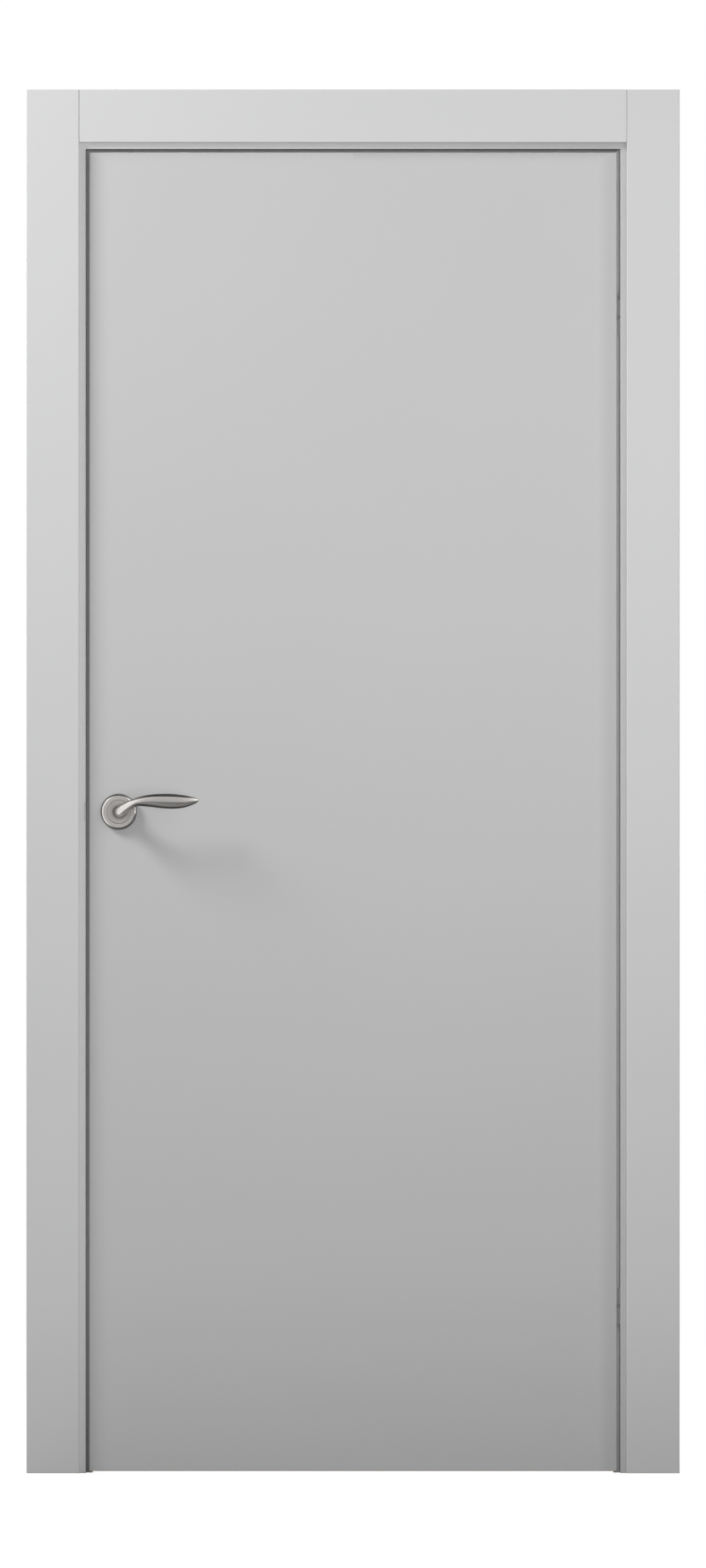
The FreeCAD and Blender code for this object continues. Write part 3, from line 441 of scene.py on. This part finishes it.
def board_finish(name, tone, greying, bare_share_of):
    """Lacquered board whose tone changes by greying per metre towards the hinges, as painted light and
    shade; bare_share_of gives the mask of bare board from the tree, x, y, z and noise."""
    finish, tree, surface = new_finish(name, IOR=1.48, Specular_IOR_Level=0.45)
    vector, x, y, z, normal = object_place(tree)
    hinge_ward = sums(tree, "SUBTRACT", x, middle_x)
    tone = scaled_colour(tree, tone, sums(tree, "MULTIPLY_ADD", hinge_ward, greying, 1.0))
    film = placed(tree, lacquer, Vector=vector, Tone=tone, Dullness=lacquer_dullness)
    board = placed(tree, fibreboard, Vector=vector)
    wander = ranged(tree, noise(tree, vector, scale=300, detail=3), -mist_reach / 2, mist_reach / 2)
    bare = bare_share_of(tree, x, y, z, wander)
    clean_colour = mixed(tree, bare, film["Colour"], board["Colour"])
    dusty = placed(tree, dusting, Vector=vector, Normal=normal, Colour=clean_colour)
    wire(tree, dusty["Colour"], surface.inputs["Base Color"])
    coated = mixed(tree, bare, film["Roughness"], bare_dullness, "FLOAT")
    wire(tree, sums(tree, "MULTIPLY_ADD", dusty["Cover"], dust_dulling, coated), surface.inputs["Roughness"])
    bumped(tree, surface, mixed(tree, bare, film["Height"], board["Height"], "FLOAT"), film_relief)
    return finish


def casing_bare_share(tree, x, y, z, wander):
    """Bare on the wall side and its tongue, apart from mist at the outer edge, and on the foot."""
    depth = sums(tree, "ABSOLUTE", y)
    wall_side = sums(tree, "LESS_THAN", depth, wall_half_depth + bare_skin_depth)
    half_width = (box_high.x - box_low.x) / 2
    outward = sums(tree, "ADD", sums(tree, "ABSOLUTE", sums(tree, "SUBTRACT", x, middle_x)), wander)
    below_mist = step(tree, outward, half_width, half_width - 2 * mist_reach)
    upward = sums(tree, "ADD", z, wander)
    under_top = step(tree, upward, box_high.z, box_high.z - 2 * mist_reach)
    bare_back = sums(tree, "MULTIPLY", wall_side, sums(tree, "MULTIPLY", below_mist, under_top))
    return sums(tree, "MAXIMUM", bare_back, sums(tree, "LESS_THAN", z, bare_skin_depth))


def jamb_bare_share(tree, x, y, z, wander):
    """Bare on the face towards the wall, apart from mist at its front and back edge, and on the foot."""
    hinge_wall_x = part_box("jamb_hinge_side")[1].x
    latch_wall_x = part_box("jamb_latch_side")[0].x
    head_wall_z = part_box("jamb_head")[1].z
    at_hinge_wall = sums(tree, "GREATER_THAN", x, hinge_wall_x - bare_skin_depth)
    at_latch_wall = sums(tree, "LESS_THAN", x, latch_wall_x + bare_skin_depth)
    at_head = sums(tree, "GREATER_THAN", z, head_wall_z - bare_skin_depth)
    wall_side = sums(tree, "MAXIMUM", at_hinge_wall, sums(tree, "MAXIMUM", at_latch_wall, at_head))
    outward = sums(tree, "ADD", sums(tree, "ABSOLUTE", y), wander)
    between_mists = step(tree, outward, wall_half_depth, wall_half_depth - 2 * mist_reach)
    bare_back = sums(tree, "MULTIPLY", wall_side, between_mists)
    return sums(tree, "MAXIMUM", bare_back, sums(tree, "LESS_THAN", z, bare_skin_depth))


casing_finish = board_finish("casing_lacquer", casing_white, greying=0.0, bare_share_of=casing_bare_share)
# Painted light and shade on the jambs: lighter towards the latch side, darker towards the hinge side
jamb_finish = board_finish("jamb_lacquer", jamb_white, greying=-0.5, bare_share_of=jamb_bare_share)
dress(casing_finish, *nodes_named("casing"))
dress(jamb_finish, *nodes_named("jamb"))

# Joint filler
# A bead of acrylic filler, pressed into the butt joints between the head casings and the side casings.
# Its dark grey is painted shade, and it has sunk a little below the faces, so the joint shows as a fine dark
# line.

filler_sink, filler_end_room = 0.0007, 0.0003
filler_wall_room = 0.0002
# Dark greys of the bead, which paint the joint's shade
filler_shade_greys = ((0.16, 0.155, 0.15), (0.26, 0.255, 0.25))
bluntness = 0.3


def surface_piece(name, grids, finish, body):
    """One mesh of several closed surfaces; each grid is an array (rows, columns, 3) whose columns go
    round and whose first and last rows close in a point."""
    points, faces, first = [], [], 0
    for grid in grids:
        rows, columns = grid.shape[:2]
        row, column = np.meshgrid(np.arange(rows - 1), np.arange(columns), indexing="ij")
        after = (column + 1) % columns
        here, next_row = row * columns, (row + 1) * columns
        corners = np.stack([here + column, here + after, next_row + after, next_row + column], axis=-1)
        faces.append(corners.reshape(-1, 4) + first)
        points.append(grid.reshape(-1, 3))
        first += rows * columns
    points, faces = np.concatenate(points), np.concatenate(faces)
    mesh = bpy.data.meshes.new(name)
    mesh.from_pydata(points.tolist(), [], faces.tolist())
    welded = bmesh.new()
    welded.from_mesh(mesh)
    bmesh.ops.remove_doubles(welded, verts=welded.verts, dist=1e-7)
    bmesh.ops.recalc_face_normals(welded, faces=welded.faces)
    welded.to_mesh(mesh)
    welded.free()
    mesh.shade_smooth()
    mesh.materials.append(finish)
    piece = bpy.data.objects.new(name, mesh)
    bpy.context.scene.collection.objects.link(piece)
    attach(piece, body)


def filler_bead(joint_x, joint_y, joint_z):
    """A bead along z. Its section at angle t is (w c, d s) about its middle, where c and s are the
    cosine and sine of t, each with its size raised to the power bluntness, which makes an oblong."""
    angle = np.linspace(0, 2 * np.pi, 24, endpoint=False)
    blunt = [np.sign(wave) * np.abs(wave) ** bluntness for wave in (np.cos(angle), np.sin(angle))]
    heights = np.linspace(*joint_z, 40)
    shares = np.ones_like(heights)
    shares[[0, -1]] = 0
    heights[[1, -2]] = heights[[0, -1]]
    half = [(b - a) / 2 for a, b in (joint_x, joint_y)]
    middle = [(b + a) / 2 for a, b in (joint_x, joint_y)]
    x = middle[0] + half[0] * shares[:, None] * blunt[0]
    y = middle[1] + half[1] * shares[:, None] * blunt[1]
    return np.stack([x, y, np.broadcast_to(heights[:, None], x.shape)], axis=-1)


filler_finish, tree, surface = new_finish("joint_filler", IOR=1.45, Specular_IOR_Level=0.2, Roughness=0.8)
vector = object_place(tree)[0]
settled = noise(tree, vector, scale=400, detail=3)
filler_tone = ramped(tree, settled, [(0.3, filler_shade_greys[0]), (0.7, filler_shade_greys[1])])
wire(tree, filler_tone, surface.inputs["Base Color"])
bumped(tree, surface, settled, distance=0.00003)

for face, outward in (("front", -1), ("back", 1)):
    head_low, head_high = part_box(f"casing_{face}_head")
    face_y = head_low.y if outward < 0 else head_high.y
    joint_y = sorted((face_y - outward * filler_sink, outward * (wall_half_depth + filler_wall_room)))
    joint_z = (head_low.z + filler_end_room, head_high.z - filler_end_room)
    for side in ("latch_side", "hinge_side"):
        side_low, side_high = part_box(f"casing_{face}_{side}")
        joint_x = (side_high.x, head_low.x) if side == "latch_side" else (head_high.x, side_low.x)
        bead = filler_bead(joint_x, joint_y, joint_z)
        surface_piece(f"filler_{face}_{side}", [bead], filler_finish, "frame")

# Seals
# Hollow bulbs of pale grey thermoplastic rubber on a barbed stem, pushed into the groove of the stop
# and mitred at the corners. The closed leaf leans on them.

seal_grey = (0.75, 0.75, 0.75)
seal_finish, tree, surface = new_finish("seal_rubber", IOR=1.5, Specular_IOR_Level=0.3)
vector = object_place(tree)[0]
bloom = noise(tree, vector, scale=90, detail=4)
seal_tone = scaled_colour(tree, seal_grey, ranged(tree, bloom, 0.94, 1.06))
wire(tree, seal_tone, surface.inputs["Base Color"])
wire(tree, ranged(tree, bloom, 0.5, 0.7), surface.inputs["Roughness"])
bumped(tree, surface, noise(tree, vector, scale=2600, detail=2), distance=0.00003)
dress(seal_finish, *nodes_named("seal"))

# Leaf faces and edges
# Two smooth fibreboard skins, 3.2 mm thick, glued over the frame and sprayed together with the bands
# that cover the edges. The lacquer is a little more worn where hands push round the handle. Along the
# edges its colour is greyed as painted shade, most of all on the hinge side.

leaf_white = (0.597, 0.598, 0.598)
leaf_foot_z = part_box("leaf_skin_front")[0].z
handle_axis = Vector((-0.790, -0.028, 1.003))
handled_greying, handled_shine, patch_size = -0.012, -0.06, 0.10
# Painted shade along the leaf's edges, stronger on the hinge side, how far in it reaches and how it narrows
# at the top
latch_edge_shade, hinge_edge_shade = -0.05, -0.14
edge_shade_reach = 0.030
top_narrowing, top_start = 1.6, 0.008


def root_of_squares(tree, first, second):
    """How far a point lies from a line, from its two distances across that line."""
    squares = [sums(tree, "POWER", part, 2.0) for part in (first, second)]
    return sums(tree, "SQRT", sums(tree, "ADD", *squares))


def from_handle_axis(tree, x, z):
    """How far a point lies from the line that the handle turns about."""
    across, up = (sums(tree, "SUBTRACT", x, handle_axis.x), sums(tree, "SUBTRACT", z, handle_axis.z))
    return root_of_squares(tree, across, up)


leaf_finish, tree, surface = new_finish("leaf_lacquer", IOR=1.48, Specular_IOR_Level=0.45)
vector, x, _, z, normal = object_place(tree)
film = placed(tree, lacquer, Vector=vector, Tone=(*leaf_white, 1), Dullness=lacquer_dullness)
board = placed(tree, fibreboard, Vector=vector)
bare = sums(tree, "LESS_THAN", z, leaf_foot_z + bare_skin_depth)
patches = noise(tree, vector, scale=14, detail=4)
patchy_reach = sums(tree, "MULTIPLY_ADD", patches, patch_size, from_handle_axis(tree, x, z))
handled = step(tree, patchy_reach, 0.24, 0.08)
# Painted shade: the colour greys towards the sides and the top edge, most of all on the hinge half
skin_low, skin_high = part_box("leaf_skin_front")
from_latch_edge = sums(tree, "SUBTRACT", x, skin_low.x)
from_side = sums(tree, "MINIMUM", from_latch_edge, sums(tree, "SUBTRACT", skin_high.x, x))
from_top = sums(tree, "MULTIPLY_ADD", sums(tree, "SUBTRACT", skin_high.z, z), top_narrowing, top_start)
from_edge = sums(tree, "MINIMUM", from_side, from_top)
edge_shade_mask = step(tree, from_edge, edge_shade_reach, 0.003)
hinge_half = sums(tree, "GREATER_THAN", x, (skin_low.x + skin_high.x) / 2)
edge_weight = mixed(tree, hinge_half, latch_edge_shade, hinge_edge_shade, "FLOAT")
handled_tone = sums(tree, "MULTIPLY_ADD", handled, handled_greying, 1.0)
worn_and_shaded_tone = sums(tree, "MULTIPLY_ADD", edge_shade_mask, edge_weight, handled_tone)
clean_colour = mixed(tree, bare, scaled_colour(tree, film["Colour"], worn_and_shaded_tone), board["Colour"])
dusty = placed(tree, dusting, Vector=vector, Normal=normal, Colour=clean_colour)
wire(tree, dusty["Colour"], surface.inputs["Base Color"])
rubbed = sums(tree, "MULTIPLY_ADD", handled, handled_shine, film["Roughness"])
wire(tree, mixed(tree, bare, rubbed, bare_dullness, "FLOAT"), surface.inputs["Roughness"])
bumped(tree, surface, mixed(tree, bare, film["Height"], board["Height"], "FLOAT"), film_relief)
dress(leaf_finish, *nodes_named("leaf_skin", "leaf_edge"))

# Leaf frame and core
# Stiles, rails and lock block of planed softwood, glued between the skins, with a honeycomb of brown
# paper strips in the space that they leave.

early_wood, late_wood = (0.62, 0.43, 0.24), (0.40, 0.23, 0.10)
ring_width, ring_waver = 0.0032, 0.02
late_sharpness, fibre_darkening = 2.4, 0.25
kraft_brown = ((0.33, 0.21, 0.11), (0.44, 0.30, 0.17))

# Softwood: growth rings round a pith line that runs along z, wavy, with fibres drawn out along z
softwood, takes, gives = new_group(
    "softwood_rings",
    [("Vector", "NodeSocketVector")],
    [("Colour", "NodeSocketColor"), ("Roughness", "NodeSocketFloat"), ("Height", "NodeSocketFloat")],
)
place = takes.outputs["Vector"]
parts = softwood.nodes.new("ShaderNodeSeparateXYZ")
wire(softwood, place, parts.inputs[0])
waver = noise(softwood, stretched(softwood, place, (14, 14, 1.6)), scale=1.0, detail=3)
radius = root_of_squares(softwood, parts.outputs["X"], parts.outputs["Y"])
ring_count = sums(softwood, "DIVIDE", sums(softwood, "MULTIPLY_ADD", waver, ring_waver, radius), ring_width)
ring_phase = sums(softwood, "FRACT", ring_count)
fibre = noise(softwood, stretched(softwood, place, (900, 900, 18)), scale=1.0, detail=2)
late_share = sums(softwood, "POWER", ring_phase, late_sharpness)
dark_share = sums(softwood, "MULTIPLY_ADD", fibre, fibre_darkening, late_share)
wire(softwood, ramped(softwood, dark_share, [(0.1, early_wood), (1.0, late_wood)]), gives.inputs["Colour"])
wire(softwood, ranged(softwood, fibre, 0.5, 0.7), gives.inputs["Roughness"])
wire(softwood, fibre, gives.inputs["Height"])


def wood_finish(name, turn, pith):
    """Softwood whose fibres run along z, or another axis after turn, round a pith line through pith."""
    finish, tree, surface = new_finish(name, IOR=1.5, Specular_IOR_Level=0.3)
    mapping = tree.nodes.new("ShaderNodeMapping")
    mapping.inputs["Location"].default_value = pith
    mapping.inputs["Rotation"].default_value = turn
    wire(tree, object_place(tree)[0], mapping.inputs["Vector"])
    wood = placed(tree, softwood, Vector=mapping.outputs[0])
    wire(tree, wood["Colour"], surface.inputs["Base Color"])
    wire(tree, wood["Roughness"], surface.inputs["Roughness"])
    bumped(tree, surface, wood["Height"], distance=0.00006)
    return finish


upright_wood = wood_finish("softwood_upright", (0, 0, 0), (0.43, 0.075, 0))
level_wood = wood_finish("softwood_level", (0, math.radians(90), 0), (0.06, 0.08, 0))
dress(upright_wood, *nodes_named("leaf_stile", "leaf_lock"))
dress(level_wood, *nodes_named("leaf_rail"))

core_finish, tree, surface = new_finish("core_paper", IOR=1.5, Specular_IOR_Level=0.2, Roughness=0.9)
vector = object_place(tree)[0]
pulp = noise(tree, stretched(tree, vector, (700, 90, 700)), scale=1.0, detail=4)
paper_brown = ramped(tree, pulp, [(0.3, kraft_brown[0]), (0.7, kraft_brown[1])])
wire(tree, paper_brown, surface.inputs["Base Color"])
bumped(tree, surface, pulp, distance=0.00005)
dress(core_finish, "leaf_core")

# Concealed hinges
# Die-cast cases with a matt silver-grey coat, let into the jamb and into the leaf's edge, and paler
# coated steel arms that slide in both. Each case is held by two countersunk cross-head screws.

case_grey = (0.40, 0.40, 0.405)
arm_grey = (0.60, 0.60, 0.60)

# Cast coat: a fine even grain with small dark pits
case_finish, tree, surface = new_finish("hinge_case_metal", Metallic=0.5, IOR=1.5)
vector = object_place(tree)[0]
grain = noise(tree, vector, scale=1800, detail=3)
cloud = noise(tree, vector, scale=40, detail=3)
case_tone = scaled_colour(tree, case_grey, ranged(tree, cloud, 0.85, 1.15))
wire(tree, case_tone, surface.inputs["Base Color"])
wire(tree, ranged(tree, grain, 0.42, 0.58), surface.inputs["Roughness"])
bumped(tree, surface, grain, distance=0.00004)
dress(case_finish, *nodes_named("hinge_case"))

arm_finish, tree, surface = new_finish("hinge_arm_steel", Metallic=0.25, IOR=1.5)
vector = object_place(tree)[0]
draw_lines = noise(tree, stretched(tree, vector, (60, 60, 2400)), scale=1.0, detail=2)
arm_tone = scaled_colour(tree, arm_grey, ranged(tree, draw_lines, 0.85, 1.15))
wire(tree, arm_tone, surface.inputs["Base Color"])
wire(tree, ranged(tree, draw_lines, 0.4, 0.55), surface.inputs["Roughness"])
bumped(tree, surface, draw_lines, distance=0.00002)
dress(arm_finish, *nodes_named("hinge_arms"))

# Case screws
# Countersunk steel screws with a cross recess, zinc plated, two to a hinge case, drawn up level with it.

case_screw_head, case_screw_shank = 0.0041, 0.0021
case_screw_spacing = 0.0824
screw_sink = 0.0001
head_rim_height, head_rim_round = 0.0004, 0.00025
recess_half_width, recess_half_length, recess_depth = 0.00055, 0.0023, 0.0013
recess_wall, recess_end_run = 0.00018, 0.0007
zinc_greys = ((0.55, 0.54, 0.52), (0.66, 0.66, 0.66))


def smooth(values, start, end):
    """Rises as 3t^2 - 2t^3, with t going from 0 at start to 1 at end."""
    share = np.clip((values - start) / (end - start), 0, 1)
    return share * share * (3 - 2 * share)


def screw(head_radius, shank_radius, length, centre, outward, turn):
    """A countersunk screw whose head faces along outward. On the head, rings of radius r from 0 to R
    have the height -recess depth x cross(a, b), where cross is 1 in two crossed slots and falls off
    smoothly at their walls and ends, and the rim drops by head_rim_round. Then the cone, the shank and
    its flat end follow as rings."""
    angle = np.linspace(0, 2 * np.pi, 72, endpoint=False)[None, :]
    ring = np.linspace(0, 1, 30)[:, None]
    radius = head_radius * ring
    a, b = radius * np.cos(angle + turn), radius * np.sin(angle + turn)

    def slot_cut(along, beside):
        inside = 1 - smooth(np.abs(beside), recess_half_width - recess_wall, recess_half_width + recess_wall)
        return inside * (1 - smooth(np.abs(along), recess_half_length - recess_end_run, recess_half_length))

    height = -recess_depth * np.maximum(slot_cut(a, b), slot_cut(b, a))
    height = height - head_rim_round * smooth(radius, 0.9 * head_radius, head_radius)
    rings_radius = [np.broadcast_to(radius, height.shape)]
    rings_height = [height]
    for r, h in (
        (head_radius, -head_rim_height),
        (shank_radius, -head_rim_height - (head_radius - shank_radius)),
        (shank_radius, -length),
        (0.0, -length),
    ):
        rings_radius.append(np.full((1, angle.shape[1]), r))
        rings_height.append(np.full((1, angle.shape[1]), h))
    radius, height = np.concatenate(rings_radius), np.concatenate(rings_height)
    axis = np.array(outward, float)
    side = np.cross(axis, (0.0, 0.0, 1.0))
    side /= np.linalg.norm(side)
    up = np.cross(side, axis)
    across = radius[..., None] * (np.cos(angle)[..., None] * side + np.sin(angle)[..., None] * up)
    return np.array(centre) + across + (height - screw_sink)[..., None] * axis


def screw_pair(head_radius, shank_radius, length, middle, spacing, outward, turns):
    """Two screws, one below and one above the point middle, spacing apart in z."""
    x, y, z = middle
    return [
        screw(head_radius, shank_radius, length, (x, y, z + offset), outward, turn)
        for offset, turn in zip((-spacing / 2, spacing / 2), turns)
    ]


# Plated screws: fine turning marks and a faint warm cloud in the zinc
screw_finish, tree, surface = new_finish("plated_screws", Metallic=1.0)
vector = object_place(tree)[0]
marks = noise(tree, vector, scale=2200, detail=2)
tarnish = noise(tree, vector, scale=320, detail=3)
zinc_tone = ramped(tree, tarnish, [(0.3, zinc_greys[0]), (0.7, zinc_greys[1])])
wire(tree, zinc_tone, surface.inputs["Base Color"])
wire(tree, ranged(tree, marks, 0.22, 0.42), surface.inputs["Roughness"])
bumped(tree, surface, marks, distance=0.00001)

for case in nodes_named("hinge_case"):
    low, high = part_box(case)
    on_leaf = "leaf" in case
    middle_y, middle_z = (low.y + high.y) / 2, (low.z + high.z) / 2
    edge_x, facing = (high.x, 1) if on_leaf else (low.x, -1)
    grids = screw_pair(
        case_screw_head,
        case_screw_shank,
        high.x - low.x - screw_sink,
        (edge_x, middle_y, middle_z),
        case_screw_spacing,
        outward=(facing, 0, 0),
        turns=(0.4, 1.1),
    )
    screws_name = case.replace("hinge_case", "case_screws")
    surface_piece(screws_name, grids, screw_finish, "leaf" if on_leaf else "frame")

# Latch and strike
# A tubular latch of brushed stainless steel in a bored leaf, with its bolt drawn in level with the
# face plate, and a strike plate with a closed box in the jamb. Two cross-head screws hold each plate.

brushed_steel = (0.62, 0.61, 0.59)
plate_screw_head, plate_screw_shank, plate_screw_length = 0.0039, 0.0021, 0.0019
plate_screw_spacing = 0.043
latch_edge_slope = math.radians(2)
edge_band_thickness = 0.002

latch_finish, tree, surface = new_finish("latch_steel", Metallic=1.0)
vector = object_place(tree)[0]
brushing = noise(tree, stretched(tree, vector, (2600, 2600, 40)), scale=1.0, detail=3)
handling = noise(tree, vector, scale=70, detail=4)
steel_change = sums(tree, "MULTIPLY_ADD", brushing, 0.12, ranged(tree, handling, 0.9, 0.96))
wire(tree, scaled_colour(tree, brushed_steel, steel_change), surface.inputs["Base Color"])
wire(tree, ranged(tree, brushing, 0.22, 0.42), surface.inputs["Roughness"])
bumped(tree, surface, brushing, distance=0.000012)
dress(latch_finish, *nodes_named("latch", "strike", "spindle", "rose_base"))

strike_face_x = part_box("strike_plate")[1].x
leaf_front_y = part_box("leaf_skin_front")[0].y
leaf_latch_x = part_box("leaf_skin_front")[0].x - edge_band_thickness


def plate_screws(face_x, face_y, outward, turns):
    """The two screws of a plate whose face lies at face_x and face_y, level with the handle."""
    middle = (face_x, face_y, handle_axis.z)
    sizes = (plate_screw_head, plate_screw_shank, plate_screw_length)
    return screw_pair(*sizes, middle, plate_screw_spacing, outward, turns)


strike_screws = plate_screws(strike_face_x, handle_axis.y, outward=(1, 0, 0), turns=(0.2, 0.9))
surface_piece("strike_screws", strike_screws, screw_finish, "frame")
sloped_out = (-math.cos(latch_edge_slope), math.sin(latch_edge_slope), 0)
along_edge = handle_axis.y - leaf_front_y
edge_x = leaf_latch_x + along_edge * math.sin(latch_edge_slope)
edge_y = leaf_front_y + along_edge * math.cos(latch_edge_slope)
face_plate_screws = plate_screws(edge_x, edge_y, outward=sloped_out, turns=(0.6, 1.3))
surface_piece("face_plate_screws", face_plate_screws, screw_finish, "leaf")

# Roses
# Turned caps of satin nickel that snap over a ring screwed to the leaf. Their faces are brushed in
# circles, the turned line is duller, the rims smooth, and painted shade darkens them at neck, foot and
# underside.

satin_nickel = (0.605, 0.583, 0.562)
nickel_edge_tint = (0.35, 0.34, 0.33, 1)
rose_face_radius, rose_edge_radius = 0.0236, 0.027
rose_line_radius, rose_line_half_width = 0.0178, 0.0007
circles_per_metre, blotches_per_metre = 2600, 30
neck_radius = 0.0086
# Painted shade: a dark brown at the neck, along the foot and underneath, and how strongly it covers each
painted_shade_brown = (0.11, 0.105, 0.10)
rose_neck_shade, rose_foot_shade, rose_underneath_shade = 0.6, 0.9, 0.7
rim_dullness, line_dulling, shade_dulling = 0.16, 0.4, 0.3

# The marks run in circles, so their pattern is laid out by the distance from the handle's axis
rose_finish, tree, surface = new_finish("satin_nickel_rose", Metallic=1.0, Specular_Tint=nickel_edge_tint)
vector, x, _, z, normal = object_place(tree)
from_axis = from_handle_axis(tree, x, z)
ring_place = tree.nodes.new("ShaderNodeCombineXYZ")
wire(tree, sums(tree, "MULTIPLY", from_axis, circles_per_metre), ring_place.inputs["X"])
wire(tree, sums(tree, "MULTIPLY", x, blotches_per_metre), ring_place.inputs["Y"])
wire(tree, sums(tree, "MULTIPLY", z, blotches_per_metre), ring_place.inputs["Z"])
circles = noise(tree, ring_place.outputs[0], scale=1.0, detail=3)
cloud = noise(tree, vector, scale=90, detail=4)
brushed = step(tree, from_axis, rose_face_radius + 0.0008, rose_face_radius - 0.0004)
off_line = sums(tree, "ABSOLUTE", sums(tree, "SUBTRACT", from_axis, rose_line_radius))
in_line = step(tree, off_line, rose_line_half_width, 0.0002)
# Painted shade masks at the neck, the foot of the rim and the underside, which also dull the metal a little
at_neck = step(tree, from_axis, neck_radius + 0.0016, neck_radius)
at_foot = step(tree, from_axis, rose_edge_radius - 0.0015, rose_edge_radius - 0.0006)
underneath = step(tree, facing_up(tree, normal), -0.25, -0.7)
foot_share = sums(tree, "MULTIPLY", at_foot, rose_foot_shade)
on_rim = sums(tree, "MAXIMUM", foot_share, sums(tree, "MULTIPLY", underneath, rose_underneath_shade))
rose_painted_shade = sums(tree, "MAXIMUM", sums(tree, "MULTIPLY", at_neck, rose_neck_shade), on_rim)
metal_colour = scaled_colour(tree, satin_nickel, ranged(tree, cloud, 0.95, 1.05))
wire(tree, mixed(tree, rose_painted_shade, metal_colour, painted_shade_brown), surface.inputs["Base Color"])
satin = ranged(tree, circles, 0.28, 0.44)
cap_dullness = mixed(tree, brushed, rim_dullness, satin, "FLOAT")
with_line = sums(tree, "MULTIPLY_ADD", in_line, line_dulling, cap_dullness)
wire(tree, sums(tree, "MULTIPLY_ADD", rose_painted_shade, shade_dulling, with_line), surface.inputs["Roughness"])
bumped(tree, surface, sums(tree, "MULTIPLY", circles, brushed), distance=0.000012)
dress(rose_finish, "rose_front", "rose_back")

# Levers
# Cast and satin-polished nickel, drawn out from a round neck to a grip with a ridge along its upper
# edge. Hands keep the middle of the grip smoother, and it is duller where they don't reach. A socket
# screw under each neck pins it to the spindle.

rose_height = 0.009
held_shine = -0.03
# How strongly painted shade darkens the underside, the top near the neck and the part close to the rose
underneath_dark, on_top_dark, at_rose_dark = 0.82, 0.84, 0.7
leaf_half_depth = (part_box("leaf_skin_back")[1].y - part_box("leaf_skin_front")[0].y) / 2
lever_finish, tree, surface = new_finish("satin_nickel_lever", Metallic=1.0, Specular_Tint=nickel_edge_tint)
vector, x, y, _, normal = object_place(tree)
streaks = noise(tree, stretched(tree, vector, (45, 1900, 1900)), scale=1.0, detail=3)
cloud = noise(tree, vector, scale=80, detail=4)
along_grip = sums(tree, "SUBTRACT", x, handle_axis.x)
held_start = step(tree, along_grip, 0.03, 0.06)
held = sums(tree, "MULTIPLY", held_start, step(tree, along_grip, 0.118, 0.09))
# Painted shade: the colour is darkened underneath, on top near the neck and close to the rose
upward = facing_up(tree, normal)
turned_down = step(tree, upward, -0.30, -0.65)
underneath = sums(tree, "MULTIPLY", turned_down, step(tree, along_grip, 0.012, 0.034))
near_neck = sums(tree, "MULTIPLY", step(tree, along_grip, 0.010, 0.050), step(tree, along_grip, 0.063, 0.056))
on_top = sums(tree, "MULTIPLY", step(tree, upward, 0.55, 0.8), near_neck)
from_middle = sums(tree, "ABSOLUTE", sums(tree, "SUBTRACT", y, handle_axis.y))
at_rose = step(tree, sums(tree, "SUBTRACT", from_middle, leaf_half_depth), 0.024, 0.014)
underneath_share = sums(tree, "MULTIPLY", underneath, underneath_dark)
top_and_under_shade = sums(tree, "MAXIMUM", underneath_share, sums(tree, "MULTIPLY", on_top, on_top_dark))
dark_share = sums(tree, "MAXIMUM", top_and_under_shade, sums(tree, "MULTIPLY", at_rose, at_rose_dark))
shaded_tone_share = sums(tree, "SUBTRACT", ranged(tree, cloud, 0.96, 1.06), dark_share)
wire(tree, scaled_colour(tree, satin_nickel, shaded_tone_share), surface.inputs["Base Color"])
satin = sums(tree, "MULTIPLY_ADD", streaks, 0.12, ranged(tree, cloud, 0.14, 0.20))
wire(tree, sums(tree, "MULTIPLY_ADD", held, held_shine, satin), surface.inputs["Roughness"])
bumped(tree, surface, streaks, distance=0.000008)
dress(lever_finish, "lever_front", "lever_back")

grub_radius, grub_depth = 0.0026, 0.0011
socket_radius, socket_depth, socket_chamfer = 0.0013, 0.0012, 0.0001
grub_out, grub_proud, grub_rim_round = 0.0135, 0.00015, 0.00025


def grub_screw(centre_y):
    """A socket set screw under the neck, seen from below: rings from the middle of the hexagon socket
    up its walls, over the rim and back round its outside. The socket's radius at angle t is
    R cos(30) / cos(((t + 30) mod 60) - 30), in degrees."""
    angle = np.linspace(0, 2 * np.pi, 72, endpoint=False)
    sixth = np.radians(60)
    hexagon = socket_radius * math.cos(sixth / 2) / np.cos((angle + sixth / 2) % sixth - sixth / 2)
    round_ring = np.ones_like(angle)
    rings = [
        (0 * round_ring, socket_depth),
        (0.97 * hexagon, socket_depth),
        (hexagon, socket_chamfer),
        (hexagon + socket_chamfer, 0.0),
        (0.9 * grub_radius * round_ring, 0.0),
        (grub_radius * round_ring, grub_rim_round),
        (grub_radius * round_ring, socket_depth + grub_depth),
        (0 * round_ring, socket_depth + grub_depth),
    ]
    lowest_z = handle_axis.z - neck_radius - grub_proud
    radius = np.stack([ring_radius for ring_radius, rise in rings])
    rises = np.array([rise for ring_radius, rise in rings])
    x = handle_axis.x + radius * np.cos(angle)
    y = centre_y + radius * np.sin(angle)
    z = np.broadcast_to(lowest_z + rises[:, None], x.shape)
    return np.stack([x, y, z], axis=-1)


for face in ("front", "back"):
    low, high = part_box("rose_" + face)
    beyond_rose = grub_out - rose_height
    centre_y = low.y - beyond_rose if face == "front" else high.y + beyond_rose
    surface_piece("grub_screw_" + face, [grub_screw(centre_y)], screw_finish, "handle")
